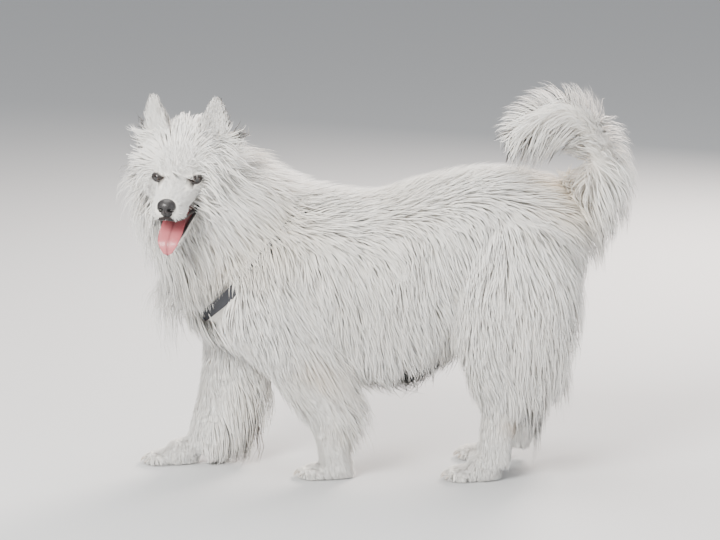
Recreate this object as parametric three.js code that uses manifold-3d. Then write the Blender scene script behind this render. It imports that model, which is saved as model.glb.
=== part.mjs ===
// A standing Samoyed dog, life size, in millimetres. The dog faces -X with its left side towards -Y, +Z is up,
// and its head is turned to its left. Each part of the body is an oval tube through a few rings; the long coat is
// a core as deep as part of the coat, with flat tapered locks fused to it that lie along the coat.
import * as THREE from "three";
import { mergeVertices } from "three/addons/utils/BufferGeometryUtils.js";
import Module from "manifold-3d";

const wasm = await Module();
wasm.setup();

// The driving sizes.
const gap = 0.3; // between parts that touch
const coreShare = 0.45; // how much of the coat's depth the solid core takes
const lockSink = 14; // how deep a lock's root goes under the core's surface
const noseForward = 160; // from the middle of the skull to the tip of the nose
const eyeRadius = 12;
const eyeApart = 37; // from the middle of the face to the middle of an eye
const floorAt = -17; // the floor's height in the frame that the sizes below are given in

// Where the head is and how it is turned.
const skull = { at: [-349, -94, 626], yaw: 80, pitch: 12, roll: 2 }; // degrees: turned left, nose down, left ear low

const vec = (x, y, z) => new THREE.Vector3(x, y, z);
const radians = (degrees) => (degrees * Math.PI) / 180;

// The head's own frame: X forward along the muzzle, Y to the dog's left, Z to the top of the head.
function makeHeadFrame() {
  const forward = vec(-1, 0, 0);
  forward.applyAxisAngle(vec(0, 0, 1), radians(skull.yaw));
  const left = vec(0, 0, 1).cross(forward).normalize();
  forward.applyAxisAngle(left, radians(skull.pitch));
  left.applyAxisAngle(forward, radians(-skull.roll));
  const up = forward.clone().cross(left).normalize();
  return new THREE.Matrix4().makeBasis(forward, left, up).setPosition(...skull.at);
}
const headFrame = makeHeadFrame();
const onHead = (forward, left, up) => vec(forward, left, up).applyMatrix4(headFrame).toArray();
const headUp = vec(0, 0, 1).transformDirection(headFrame).toArray();

// The body's parts. A ring is [x, y, z], half sizes [side, up, down] of the flesh and the coat's depth there,
// [side, up, down]. For a leg, up is its front and down is its back.
const ring = (at, flesh, coat) => ({ at, flesh, coat });

const torso = {
  up: [0, 0, 1],
  rings: [
    ring([-345, 0, 375], [42, 46, 50], [50, 60, 50]),
    ring([-300, 0, 385], [74, 78, 84], [48, 55, 62]),
    ring([-225, 0, 403], [98, 115, 116], [45, 45, 70]),
    ring([-150, 0, 405], [112, 138, 138], [42, 42, 72]),
    ring([-60, 0, 400], [118, 138, 147], [42, 40, 80]),
    ring([30, 0, 398], [118, 136, 148], [44, 38, 82]),
    ring([110, 0, 415], [112, 134, 134], [46, 38, 78]),
    ring([190, 0, 445], [104, 125, 118], [46, 40, 70]),
    ring([270, 0, 470], [98, 110, 100], [46, 42, 60]),
    ring([345, 0, 478], [90, 90, 85], [48, 44, 60]),
    ring([405, 0, 478], [68, 62, 65], [50, 44, 65]),
    ring([440, 0, 474], [34, 36, 40], [50, 44, 65]),
  ],
};

const neck = {
  up: [0, 0, 1],
  rings: [
    ring([-150, 0, 440], [92, 88, 100], [40, 46, 60]),
    ring([-215, 0, 485], [86, 80, 98], [62, 66, 130]),
    ring([-280, -3, 535], [78, 70, 90], [76, 72, 118]),
    ring([-326, -12, 582], [71, 60, 78], [84, 62, 95]),
    ring([-347, -30, 622], [62, 50, 62], [74, 46, 74]),
  ],
};

const foreLeft = {
  up: [-1, 0, 0],
  rings: [
    ring([-165, -72, 470], [38, 58, 70], [40, 30, 30]),
    ring([-205, -92, 385], [46, 62, 74], [36, 36, 36]),
    ring([-180, -96, 315], [45, 56, 70], [30, 30, 45]),
    ring([-138, -92, 250], [36, 44, 52], [22, 28, 66]),
    ring([-106, -86, 190], [29, 32, 36], [16, 34, 82]),
    ring([-80, -80, 130], [24, 25, 28], [12, 16, 58]),
    ring([-62, -74, 72], [22, 22, 24], [9, 10, 24]),
    ring([-56, -70, 22], [23, 22, 22], [8, 8, 14]),
  ],
};

const foreRight = {
  up: [-1, 0, 0],
  rings: [
    ring([-165, 72, 470], [38, 58, 70], [40, 30, 30]),
    ring([-235, 88, 385], [46, 62, 78], [36, 36, 36]),
    ring([-252, 88, 315], [45, 54, 74], [30, 30, 45]),
    ring([-266, 78, 240], [36, 42, 48], [22, 22, 74]),
    ring([-286, 66, 172], [28, 30, 34], [15, 18, 92]),
    ring([-306, 54, 108], [23, 24, 27], [11, 14, 84]),
    ring([-326, 45, 54], [22, 22, 24], [9, 9, 56]),
    ring([-340, 42, 18], [22, 20, 24], [8, 7, 30]),
  ],
};

const hindLeft = {
  up: [-1, 0, 0],
  rings: [
    ring([330, -70, 490], [45, 88, 72], [40, 30, 45]),
    ring([312, -92, 420], [52, 98, 84], [40, 28, 70]),
    ring([288, -100, 350], [50, 78, 78], [36, 26, 95]),
    ring([266, -102, 285], [40, 50, 62], [28, 28, 95]),
    ring([272, -98, 212], [30, 36, 42], [20, 26, 70]),
    ring([286, -92, 138], [23, 28, 25], [12, 16, 22]),
    ring([277, -88, 80], [20, 25, 24], [9, 10, 12]),
    ring([270, -86, 22], [21, 24, 26], [8, 8, 12]),
  ],
};

const hindRight = {
  up: [-1, 0, 0],
  rings: [
    ring([335, 70, 490], [45, 88, 72], [40, 30, 45]),
    ring([322, 92, 420], [52, 98, 84], [40, 28, 70]),
    ring([305, 98, 350], [50, 78, 76], [36, 26, 92]),
    ring([300, 96, 285], [40, 52, 60], [28, 24, 92]),
    ring([330, 92, 212], [30, 34, 40], [20, 18, 64]),
    ring([357, 86, 138], [23, 25, 25], [12, 12, 24]),
    ring([342, 82, 80], [20, 24, 24], [9, 9, 14]),
    ring([322, 80, 22], [21, 22, 26], [8, 8, 12]),
  ],
};

const tail = {
  up: [0, 1, 0],
  rings: [
    ring([378, 0, 512], [26, 26, 26], [36, 34, 34]),
    ring([442, 0, 538], [22, 22, 22], [58, 56, 56]),
    ring([486, -2, 592], [20, 20, 20], [58, 60, 60]),
    ring([484, -5, 650], [17, 17, 17], [46, 62, 62]),
    ring([456, -9, 700], [15, 15, 15], [44, 64, 64]),
    ring([410, -14, 722], [13, 13, 13], [48, 64, 64]),
    ring([358, -18, 712], [11, 11, 11], [48, 58, 58]),
    ring([314, -22, 678], [8, 8, 8], [34, 42, 42]),
  ],
};

// The head's rings are given in its own frame: [forward, up] of the middle, then flesh and coat as above.
const headRing = (forward, up, flesh, coat) => ring(onHead(forward, 0, up), flesh, coat);

const head = {
  up: headUp,
  rings: [
    headRing(-88, 10, [20, 20, 22], [34, 26, 34]),
    headRing(-70, 10, [44, 42, 46], [46, 28, 42]),
    headRing(-40, 8, [60, 54, 62], [54, 28, 46]),
    headRing(-5, 6, [66, 55, 66], [44, 22, 42]),
    headRing(28, 0, [60, 46, 60], [18, 12, 22]),
    headRing(50, -8, [47, 34, 48], [5, 4, 10]),
    headRing(72, -20, [37, 23, 34], [4, 3, 6]),
    headRing(100, -27, [32, 21, 27], [6, 4, 5]),
    headRing(130, -30, [28, 20, 24], [5, 4, 4]),
    headRing(148, -31, [22, 17, 20], [4, 3, 3]),
  ],
};

const jaw = {
  up: headUp,
  rings: [
    headRing(12, -46, [38, 14, 22], [18, 3, 24]),
    headRing(55, -72, [33, 11, 17], [10, 3, 16]),
    headRing(92, -92, [25, 8, 13], [6, 2, 8]),
    headRing(120, -106, [19, 8, 10], [5, 2, 5]),
    headRing(133, -112, [11, 6, 6], [4, 2, 4]),
  ],
};

const bare = [0, 0, 0]; // no coat
const tongue = {
  up: headUp,
  rings: [
    headRing(60, -64, [20, 4, 4], bare),
    headRing(95, -80, [25, 4, 4], bare),
    headRing(124, -92, [28, 4, 4], bare),
    headRing(144, -101, [28, 4, 4], bare),
    headRing(154, -115, [24, 4, 4], bare),
    headRing(156, -126, [14, 3, 3], bare),
  ],
};

// An ear from its base to its tip, in the head's frame, on the left for side 1 and on the right for side -1.
const earFacing = 30; // degrees that the cup is turned outwards
const earRing = (side, out, back, up, flesh) => ring(onHead(-back, side * out, up), flesh, bare);
function earForm(side) {
  const facing = vec(Math.cos(radians(earFacing)), side * Math.sin(radians(earFacing)), 0);
  return {
    up: facing.transformDirection(headFrame).toArray(),
    rings: [
      earRing(side, 50, 16, 34, [36, 14, 16]),
      earRing(side, 55, 18, 64, [34, 13, 14]),
      earRing(side, 59, 20, 94, [27, 11, 11]),
      earRing(side, 62, 21, 120, [18, 8, 8]),
      earRing(side, 63, 22, 138, [9, 5, 5]),
    ],
  };
}

// A value between the rings of a form: the middle, the half sizes and the frame there. t counts rings from 0.
const across = (a, b, c, d, k) =>
  0.5 * (2 * b + (c - a) * k + (2 * a - 5 * b + 4 * c - d) * k * k + (3 * b - a - 3 * c + d) * k * k * k);
function stationAt(form, t) {
  const last = form.rings.length - 1;
  const i = Math.min(Math.floor(t), last - 1);
  const at = (n) => form.rings[Math.max(0, Math.min(last, n))];
  const mix = (key) => at(i)[key].map((_, n) =>
    across(at(i - 1)[key][n], at(i)[key][n], at(i + 1)[key][n], at(i + 2)[key][n], t - i));
  const ahead = vec(...at(i + 1).at).sub(vec(...at(i).at));
  const before = i > 0 ? vec(...at(i).at).sub(vec(...at(i - 1).at)) : ahead;
  const after = i < last - 1 ? vec(...at(i + 2).at).sub(vec(...at(i + 1).at)) : ahead;
  const start = before.clone().normalize().add(ahead.clone().normalize());
  const end = after.clone().normalize().add(ahead.clone().normalize());
  const along = start.lerp(end, t - i).normalize();
  const side = vec(...form.up).cross(along).normalize();
  return { middle: vec(...mix("at")), flesh: mix("flesh"), coat: mix("coat"), along, side, up: along.clone().cross(side) };
}

// A point of a form's surface: share of the coat's depth from the flesh, and how far out from there.
function surfacePoint(form, t, angle, share, grow = 0) {
  const s = stationAt(form, t);
  const half = s.flesh.map((size, n) => Math.max(size, 2) + Math.max(s.coat[n], 0) * share + grow);
  return s.middle
    .addScaledVector(s.side, half[0] * Math.cos(angle))
    .addScaledVector(s.up, (Math.sin(angle) > 0 ? half[1] : half[2]) * Math.sin(angle));
}

function surfaceNormal(form, t, angle, share) {
  const step = 0.02;
  const last = form.rings.length - 1;
  const here = surfacePoint(form, t, angle, share);
  const ahead = surfacePoint(form, Math.min(t + step, last), angle, share)
    .sub(surfacePoint(form, Math.max(t - step, 0), angle, share));
  const around = surfacePoint(form, t, angle + step, share).sub(here);
  const normal = around.cross(ahead).normalize();
  return normal.dot(here.sub(stationAt(form, t).middle)) < 0 ? normal.negate() : normal;
}

// A closed solid of three.js geometry for joining and cutting. Its faces are turned to point outwards.
function solidOf(geometry) {
  geometry.deleteAttribute("normal");
  geometry.deleteAttribute("uv");
  const merged = mergeVertices(geometry, 1e-3);
  const make = (triVerts) =>
    new wasm.Manifold(new wasm.Mesh({ numProp: 3, vertProperties: merged.attributes.position.array, triVerts }));
  const faces = new Uint32Array(merged.index.array);
  const made = make(faces);
  return made.volume() < 0 ? make(faces.reverse()) : made;
}

// A closed skin over rings of the same number of points, with a point at each end.
function skinOver(rings, first, final) {
  const sides = rings[0].length;
  const points = [first, ...rings.flat(), final];
  const faces = [];
  for (let j = 0; j < sides; j++) {
    const next = (j + 1) % sides;
    faces.push(0, 1 + next, 1 + j);
    for (let i = 0; i + 1 < rings.length; i++) {
      const [a, b] = [1 + i * sides, 1 + (i + 1) * sides];
      faces.push(a + j, a + next, b + next, a + j, b + next, b + j);
    }
    const top = 1 + (rings.length - 1) * sides;
    faces.push(top + j, top + next, points.length - 1);
  }
  const geometry = new THREE.BufferGeometry();
  geometry.setAttribute("position", new THREE.Float32BufferAttribute(points.flatMap((p) => p.toArray()), 3));
  geometry.setIndex(faces);
  return geometry;
}

// The part of a form between two of its rings, as a solid, domed at the form's own ends and flat where it is parted.
function tube(form, { from = 0, to = form.rings.length - 1, steps, sides, share = 0, cap = 0.35 }, grow) {
  const rings = [];
  for (let i = 0; i <= steps; i++) {
    const t = from + ((to - from) * i) / steps;
    const push = stationAt(form, t).along.multiplyScalar(i === 0 ? -grow : i === steps ? grow : 0);
    rings.push(Array.from({ length: sides }, (_, j) =>
      surfacePoint(form, t, (2 * Math.PI * (j + 0.5)) / sides, share, grow).add(push)));
  }
  const end = (t, way) => {
    const s = stationAt(form, t);
    const depth = (t === 0 || t === form.rings.length - 1 ? cap * (s.flesh[1] + s.coat[1] * share) : 0) + grow;
    return s.middle.addScaledVector(s.along, way * depth);
  };
  return solidOf(skinOver(rings, end(from, -1), end(to, 1)));
}

// A round rod along a smooth curve, as a solid.
function rod(points, radius, steps, sides, grow) {
  const shape = new THREE.Shape(
    Array.from({ length: sides }, (_, j) => {
      const angle = (2 * Math.PI * j) / sides;
      return new THREE.Vector2((radius + grow) * Math.cos(angle), (radius + grow) * Math.sin(angle));
    }),
  );
  const path = new THREE.CatmullRomCurve3(points.map((p) => vec(...p)));
  return solidOf(new THREE.ExtrudeGeometry(shape, { steps, bevelEnabled: false, extrudePath: path }));
}

// An ellipsoid in the head's frame, as a solid.
function headBall([forward, left, up], half, grow, across = 9, down = 5) {
  const ball = new THREE.SphereGeometry(1, across, down);
  ball.scale(...half.map((size) => size + grow)).translate(forward, left, up).applyMatrix4(headFrame);
  return solidOf(ball);
}

// A seeded draw from -1 to 1.
function drawFrom(seed) {
  let state = seed;
  return () => {
    state = (state * 1664525 + 1013904223) % 4294967296;
    return (state / 4294967296) * 2 - 1;
  };
}

// Whether a point is inside a form's core.
function within(form, point, share) {
  for (let t = 0; t <= form.rings.length - 1; t += 0.2) {
    const s = stationAt(form, t);
    const from = point.clone().sub(s.middle);
    const [across, up] = [from.dot(s.side), from.dot(s.up)];
    const upHalf = s.flesh[up > 0 ? 1 : 2] + s.coat[up > 0 ? 1 : 2] * share;
    const round = (across / (s.flesh[0] + s.coat[0] * share)) ** 2 + (up / upHalf) ** 2;
    if (Math.abs(from.dot(s.along)) < 12 && round < 1) return true;
  }
  return false;
}

// The line of a lock over a form's surface: from its sunk root it follows the coat's lie and climbs from the core
// to the coat's outer depth, where gravity bends its tip down. Each step has a point and the way out there.
function lockLine(form, root, { lie, long, outer, droop, sway }) {
  let [t, angle] = root;
  const last = form.rings.length - 1;
  const line = [];
  let at = surfacePoint(form, t, angle, coreShare);
  let out = surfaceNormal(form, t, angle, coreShare);
  let height = 0;
  for (let k = 0; k <= 3; k++) {
    const s = k / 3;
    const sunk = lockSink * (1 - s) ** 3;
    line.push({ point: at.clone().addScaledVector(out, height - sunk).add(vec(0, 0, -droop * long * s * s)), out: out.clone() });
    const flow = lie(at, out);
    flow.addScaledVector(out, -flow.dot(out)).normalize();
    flow.addScaledVector(flow.clone().cross(out), sway * s).normalize();
    const step = flow.multiplyScalar(long / 3);
    const [dt, da] = [0.02, 0.02];
    const alongT = surfacePoint(form, Math.min(t + dt, last), angle, coreShare)
      .sub(surfacePoint(form, Math.max(t - dt, 0), angle, coreShare)).divideScalar(Math.min(t + dt, last) - Math.max(t - dt, 0));
    const aroundA = surfacePoint(form, t, angle + da, coreShare)
      .sub(surfacePoint(form, t, angle - da, coreShare)).divideScalar(2 * da);
    const [tt, ta, aa] = [alongT.dot(alongT), alongT.dot(aroundA), aroundA.dot(aroundA)];
    const det = tt * aa - ta * ta;
    const nextT = t + (step.dot(alongT) * aa - step.dot(aroundA) * ta) / det;
    angle += (step.dot(aroundA) * tt - step.dot(alongT) * ta) / det;
    height = Math.max(height, s + 1 / 3 > 1 ? 0 : depthAt(form, Math.max(0, Math.min(last, nextT)), angle, outer) * ((s + 1 / 3) ** 1.2));
    if (nextT > last || nextT < 0) {
      at = at.clone().add(step);
    } else {
      t = nextT;
      at = surfacePoint(form, t, angle, coreShare);
      out = surfaceNormal(form, t, angle, coreShare);
    }
  }
  return line;
}

// How far the coat's outer share stands over the core at a place.
const depthAt = (form, t, angle, outer) =>
  surfacePoint(form, t, angle, outer).distanceTo(surfacePoint(form, t, angle, coreShare));

// A flat lock along its line: three sections with a ridge, widest past the root, drawn out to a point at the tip.
function lockPiece({ line, wide, thick }, grow) {
  const rings = line.slice(0, 3).map(({ point, out }, k) => {
    const ahead = line[k + 1].point.clone().sub(point).normalize();
    const across = ahead.clone().cross(out).normalize();
    const over = across.clone().cross(ahead).normalize();
    const half = [0.38, 0.5, 0.34][k] * wide;
    const ridge = [0.8, 1, 0.75][k] * thick;
    const reach = half + (2 * grow * half) / ridge;
    const base = point.clone().addScaledVector(over, -grow).addScaledVector(ahead, k === 0 ? -grow : 0);
    return [
      base.clone().addScaledVector(across, reach),
      base.clone().addScaledVector(over, ridge + 2.2 * grow),
      base.clone().addScaledVector(across, -reach),
    ];
  });
  const tip = line[3].point.clone().addScaledVector(line[3].point.clone().sub(line[2].point).normalize(), 4 * grow);
  const root = rings[0].reduce((sum, p) => sum.add(p), vec(0, 0, 0)).divideScalar(3);
  return solidOf(skinOver(rings, root, tip));
}

// Rows of locks over a form from ring t0 to ring t1, in staggered places, with each one's size and way drawn anew.
function lockRows(form, { from, to, spacing, long, wide, thick = 9, outer = 1, droop = 0, lie, keep = () => true, seed }) {
  const draw = drawFrom(seed);
  const made = [];
  let row = 0;
  for (let t = from; t <= to; ) {
    const s = stationAt(form, t);
    const girth = Math.PI * (s.flesh[0] + s.coat[0] * coreShare + (s.flesh[1] + s.flesh[2] + (s.coat[1] + s.coat[2]) * coreShare) / 2);
    const count = Math.max(3, Math.round(girth / spacing[1]));
    for (let j = 0; j < count; j++) {
      const angle = (2 * Math.PI * (j + 0.5 * (row % 2) + 0.25 * draw())) / count;
      const place = Math.max(0, Math.min(form.rings.length - 1.02, t + 0.12 * draw()));
      const point = surfacePoint(form, place, angle, coreShare);
      const out = surfaceNormal(form, place, angle, coreShare);
      const size = { long: long * (1 + 0.16 * draw()), wide: wide * (1 + 0.12 * draw()), sway: 0.25 * draw() };
      if (!keep(point, out)) continue;
      const line = lockLine(form, [place, angle], { lie, outer, droop, ...size });
      for (const step of line) step.point.z = Math.max(step.point.z, floorAt + 12);
      made.push({ t: place, line, wide: size.wide, thick });
    }
    const ahead = stationAt(form, Math.min(t + 0.1, form.rings.length - 1)).middle.distanceTo(s.middle) / 0.1;
    t += spacing[0] / Math.max(ahead, 20);
    row++;
  }
  return made;
}

const sides = [["left", 1], ["right", -1]];
const block = (low, high) => {
  const size = high.map((value, n) => value - low[n]);
  const geometry = new THREE.BoxGeometry(...size);
  geometry.translate(...high.map((value, n) => (value + low[n]) / 2));
  return solidOf(geometry);
};
const join = (solids) => solids.reduce((whole, solid) => whole.add(solid));

// Eyes, each a ball in its socket, and the lids that lie on it. An eye looks forward and a little outwards.
const eyeCentre = (side) => [57, side * eyeApart, 1];
const eyeball = (side, grow) => headBall(eyeCentre(side), [eyeRadius, eyeRadius, eyeRadius], grow, 12, 8);
function lid(side, heights, radius) {
  const outwards = 24; // degrees from straight ahead
  const reach = eyeRadius + 1;
  const points = [-62, -32, 0, 32, 62].map((turn, n) => {
    const across = radians(side * (turn + outwards));
    const rise = radians(heights[n]);
    const [forward, left, up] = eyeCentre(side);
    return onHead(
      forward + reach * Math.cos(rise) * Math.cos(across),
      left + reach * Math.cos(rise) * Math.sin(across),
      up + reach * Math.sin(rise),
    );
  });
  return (grow) => rod(points, radius, 7, 5, grow);
}
const upperLid = [-4, 26, 35, 28, 8]; // degrees above the eye's middle, from its inner corner to its outer one
const lowerLid = [-4, -28, -33, -22, 8];

// The nose pad with its two nostrils and the groove down its middle.
function nosePieces(grow) {
  return [
    headBall([148, 0, -24], [16, 19, 15], grow, 12, 7),
    headBall([146, 0, -36], [12, 13, 12], grow, 8, 6),
  ];
}
const nostrils = () => [
  ...sides.map(([, side]) => headBall([161, side * 8.5, -27], [7, 4.2, 4.6], 0, 6, 4)),
  ...sides.map(([, side]) => headBall([155, side * 14, -30], [9, 4.5, 2.2], 0, 6, 4)),
  rod([onHead(166, 0, -31), onHead(160, 0, -42), onHead(152, 0, -50)], 1.1, 6, 5, 0),
];

// The lips run from under the nose along each side to the corner of the mouth, and back along the jaw.
function lipPieces(side, grow) {
  return [
    rod([
      onHead(154, side * 3, -46), onHead(146, side * 15, -51), onHead(122, side * 24, -56), onHead(92, side * 29, -58),
      onHead(62, side * 36, -60), onHead(40, side * 42, -58),
    ], 4.6, 8, 5, grow),
  ];
}
function jawLipPieces(side, grow) {
  return [
    rod([
      onHead(138, side * 3, -108), onHead(130, side * 11, -103), onHead(106, side * 21, -93), onHead(76, side * 29, -78),
      onHead(52, side * 36, -66), onHead(34, side * 41, -59),
    ], 3.8, 8, 5, grow),
  ];
}

// The bare forms under the face: brows, cheeks and the pads that carry the whiskers.
const facePieces = (grow) => sides.flatMap(([, side]) => [
  headBall([36, side * 30, 19], [22, 20, 11], grow),
  headBall([22, side * 46, -26], [36, 24, 30], grow),
  headBall([122, side * 15, -38], [30, 19, 18], grow),
  ...lipPieces(side, grow),
]);

const cupOf = (side) => {
  const form = earForm(side);
  const facing = vec(...form.up);
  return {
    up: form.up,
    rings: form.rings.map(({ at, flesh }) => ring(
      vec(...at).addScaledVector(facing, flesh[1] + 1).toArray(),
      [flesh[0] * 0.66, flesh[1] * 0.85, flesh[1] * 0.85],
      bare,
    )),
  };
};

// A paw: its base, four toes and their claws, pointing along -X from the middle of the foot, cut flat at the floor.
const feet = {
  fore_left: { at: [-66, -70], size: 1 },
  fore_right: { at: [-388, 42], size: 1 },
  hind_left: { at: [234, -86], size: 1 },
  hind_right: { at: [266, 80], size: 1 },
};
function pawPieces({ at, size }, grow) {
  const ball = (x, y, z, half, across, down) => {
    const geometry = new THREE.SphereGeometry(1, across, down);
    geometry.scale(...half.map((value) => value * size + grow));
    geometry.translate(at[0] + x * size, at[1] + y * size, floorAt + z * size);
    return solidOf(geometry);
  };
  const toes = [[-32, -21, 10, 12], [-41, -8, 11, 12.5], [-41, 8, 11, 12.5], [-32, 21, 10, 12]];
  const claw = ([x, y, z]) => {
    const geometry = new THREE.ConeGeometry(3.4 + grow, 16 + grow, 4);
    geometry.rotateZ(radians(108)).translate(at[0] + (x - 22) * size, at[1] + y * size, floorAt + (z - 1.5) * size);
    return solidOf(geometry);
  };
  return [
    ball(6, 0, 13, [50, 29, 22], 10, 5),
    ball(16, 0, 26, [32, 28, 30], 8, 5),
    ...toes.map(([x, y, z, half]) => ball(x, y, z, [22, half, 14], 7, 4)),
    ...toes.map(claw),
  ];
}

// The strap lies in a slanted plane round the base of the neck, pulled tight over the body's core.
const strapAt = { middle: vec(-220, 0, 422), rise: vec(0.67, 0, 0.742).normalize(), wide: 22, thick: 2.6 };
function strapLoop(share) {
  const flat = strapAt.rise.clone().cross(vec(0, 1, 0));
  const near = [];
  for (const [form, final] of [[torso, 8], [neck, 2.2], [foreLeft, 2.6], [foreRight, 2.6]]) {
    for (let t = 0; t <= final; t += 0.05) {
      for (let angle = 0; angle < 2 * Math.PI; angle += 0.1) {
        const from = surfacePoint(form, t, angle, share).sub(strapAt.middle);
        if (Math.abs(from.dot(flat)) < 12) near.push([from.y, from.dot(strapAt.rise)]);
      }
    }
  }
  const turnOf = (o, a, b) => (a[0] - o[0]) * (b[1] - o[1]) - (a[1] - o[1]) * (b[0] - o[0]);
  const halfHull = (sorted) => {
    const chain = [];
    for (const p of sorted) {
      while (chain.length > 1 && turnOf(chain.at(-2), chain.at(-1), p) <= 0) chain.pop();
      chain.push(p);
    }
    return chain.slice(0, -1);
  };
  near.sort((a, b) => a[0] - b[0] || a[1] - b[1]);
  const hull = [...halfHull(near), ...halfHull([...near].reverse())];
  const curve = new THREE.CatmullRomCurve3(hull.map(([y, rise]) => vec(y, rise, 0)), true, "centripetal");
  return curve.getSpacedPoints(36).slice(0, 36).map((p) => [p.x, p.y]);
}
function strapPiece(share, grow) {
  const flat = strapAt.rise.clone().cross(vec(0, 1, 0));
  const loop = strapLoop(share);
  const points = [];
  const faces = [];
  loop.forEach(([y, rise], i) => {
    const [before, after] = [loop.at(i - 1), loop[(i + 1) % loop.length]];
    const out = vec(after[1] - before[1], before[0] - after[0], 0).normalize();
    for (const [depth, across] of [[0.6 - grow, -1], [0.6 - grow, 1], [0.6 + strapAt.thick + grow, 1], [0.6 + strapAt.thick + grow, -1]]) {
      points.push(strapAt.middle.clone()
        .addScaledVector(vec(0, 1, 0), y + out.x * depth)
        .addScaledVector(strapAt.rise, rise + out.y * depth)
        .addScaledVector(flat, across * (strapAt.wide / 2 + grow)));
    }
    const next = ((i + 1) % loop.length) * 4;
    for (let k = 0; k < 4; k++) {
      const m = (k + 1) % 4;
      faces.push(i * 4 + k, next + k, next + m, i * 4 + k, next + m, i * 4 + m);
    }
  });
  const geometry = new THREE.BufferGeometry();
  geometry.setAttribute("position", new THREE.Float32BufferAttribute(points.flatMap((p) => p.toArray()), 3));
  geometry.setIndex(faces);
  return solidOf(geometry);
}

// The parts in their order: each one is cut clear of all the parts before it.
const share = coreShare;
const inAny = (forms, point) => forms.some((form) => within(form, point, coreShare));

// The ways that the coat lies: over the body it hangs down and a little back, on the back it lies to the tail; round
// the neck it falls away from the face; on the legs it runs down with the feathers to the rear; on the tail it runs
// to the tip.
const lieOfBody = (at, out) => vec(out.z > 0.55 ? 1 : 0.28, 0, -1);
const lieOfNeck = (at) => vec(0.72, 0, -0.75).addScaledVector(vec(0, Math.sign(at.y), 0), 0.15);
const lieOfHead = (at) => {
  const local = at.clone().applyMatrix4(headFrame.clone().invert());
  return vec(-0.9, Math.sign(local.y) * 0.75, local.z > 10 ? 0.25 : -0.75).transformDirection(headFrame);
};
const lieOfLeg = () => vec(0.45, 0, -1);
const lieOfTail = (at) => {
  let best = null;
  for (let t = 0; t <= tail.rings.length - 1; t += 0.25) {
    const s = stationAt(tail, t);
    const far = s.middle.distanceTo(at);
    if (!best || far < best.far) best = { far, s };
  }
  const away = best.s.middle.clone().sub(at).normalize();
  const hang = at.x > 450 && at.z < 610 ? 1 : 0;
  return best.s.along.clone().addScaledVector(away, -0.5).add(vec(0.6 * hang, 0, -hang));
};

// The strap shows between these two places on the left side, so no lock lies over it there.
const strapShows = new THREE.Line3(vec(-327, -80, 311), vec(-245, -130, 395));
const clearOfStrap = ({ line }) => line.every(({ point }) => {
  const near = strapShows.closestPointToPoint(point, true, vec(0, 0, 0));
  return point.y > 0 || Math.hypot(point.x - near.x, point.z - near.z) > 24;
});

const inHead = (at) => at.clone().applyMatrix4(headFrame.clone().invert());
const locks = {
  head: lockRows(head, {
    from: 0.8, to: 3.8, spacing: [30, 44], long: 74, wide: 40, thick: 8, outer: 1.3, lie: lieOfHead, seed: 11,
    keep: (at) => Math.abs(inHead(at).y) > 42 && inHead(at).z < 48 && inHead(at).x < 24 && !inAny([neck], at),
  }),
  neck: lockRows(neck, {
    from: 0.6, to: 3.8, spacing: [58, 70], long: 124, wide: 64, thick: 10, outer: 1.15, droop: 0.14, lie: lieOfNeck, seed: 23,
    keep: (at) => !inAny([head, torso, foreLeft, foreRight], at),
  }),
  torso: lockRows(torso, {
    from: 0, to: 10.6, spacing: [92, 96], long: 126, wide: 82, thick: 10, outer: 1, droop: 0.06, lie: lieOfBody, seed: 33,
    keep: (at, out) => !inAny([neck, foreLeft, foreRight, hindLeft, hindRight, tail], at) &&
      (Math.abs(at.x - 60) < 190 || (Math.abs(at.y) > 60 && out.z > -0.5) || out.z > 0.3),
  }),
  fore_left: lockRows(foreLeft, {
    from: 0.8, to: 5.4, spacing: [62, 66], long: 94, wide: 56, thick: 9, outer: 1, droop: 0.05, lie: lieOfLeg, seed: 53,
    keep: (at, out) => at.y < -60 || (out.x > 0.3 && at.z < 300),
  }),
  fore_right: lockRows(foreRight, {
    from: 0.8, to: 5.6, spacing: [62, 66], long: 94, wide: 56, thick: 9, outer: 1, droop: 0.05, lie: lieOfLeg, seed: 49,
    keep: (at, out) => at.y > 60 || (out.x > 0.3 && at.z < 300),
  }),
  hind_left: lockRows(hindLeft, {
    from: 0.6, to: 4.6, spacing: [72, 76], long: 108, wide: 62, thick: 10, outer: 1, droop: 0.05, lie: lieOfLeg, seed: 59,
    keep: (at, out) => at.y < -95 || (out.x > 0.2 && at.y < -30 && at.z < 420),
  }),
  hind_right: lockRows(hindRight, {
    from: 0.6, to: 4.6, spacing: [72, 76], long: 108, wide: 62, thick: 10, outer: 1, droop: 0.05, lie: lieOfLeg, seed: 59,
    keep: (at, out) => at.y > 95 || (out.x > 0.2 && at.y > 30 && at.z < 420),
  }),
  tail: lockRows(tail, {
    from: 0.5, to: 6.7, spacing: [44, 54], long: 104, wide: 46, thick: 8, outer: 1.25, lie: lieOfTail, seed: 81,
    keep: (at) => !inAny([torso], at),
  }),
};
const lockPieces = (made, grow, from = 0, to = 99) =>
  made.filter(({ t }) => t >= from && t < to).filter(clearOfStrap).map((one) => lockPiece(one, grow));
const floor = () => block([-900, -400, -300], [900, 400, floorAt]);
const leftHalf = () => block([-600, 14, -100], [700, 500, 900]);
const rightHalf = () => block([-600, -500, -100], [700, -14, 900]);
const palette = { coat: 0xf4f1ea, skin: 0x1a1718, eye: 0x2a1a12, tongue: 0xe58a94, strap: 0x2b2d33 };
const lidPieces = sides.flatMap(([, side]) => [lid(side, upperLid, 3), lid(side, lowerLid, 2.6)]);
const smoothLower = "fore_right"; // the lower leg whose feathers are one smooth form out to their tips
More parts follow.
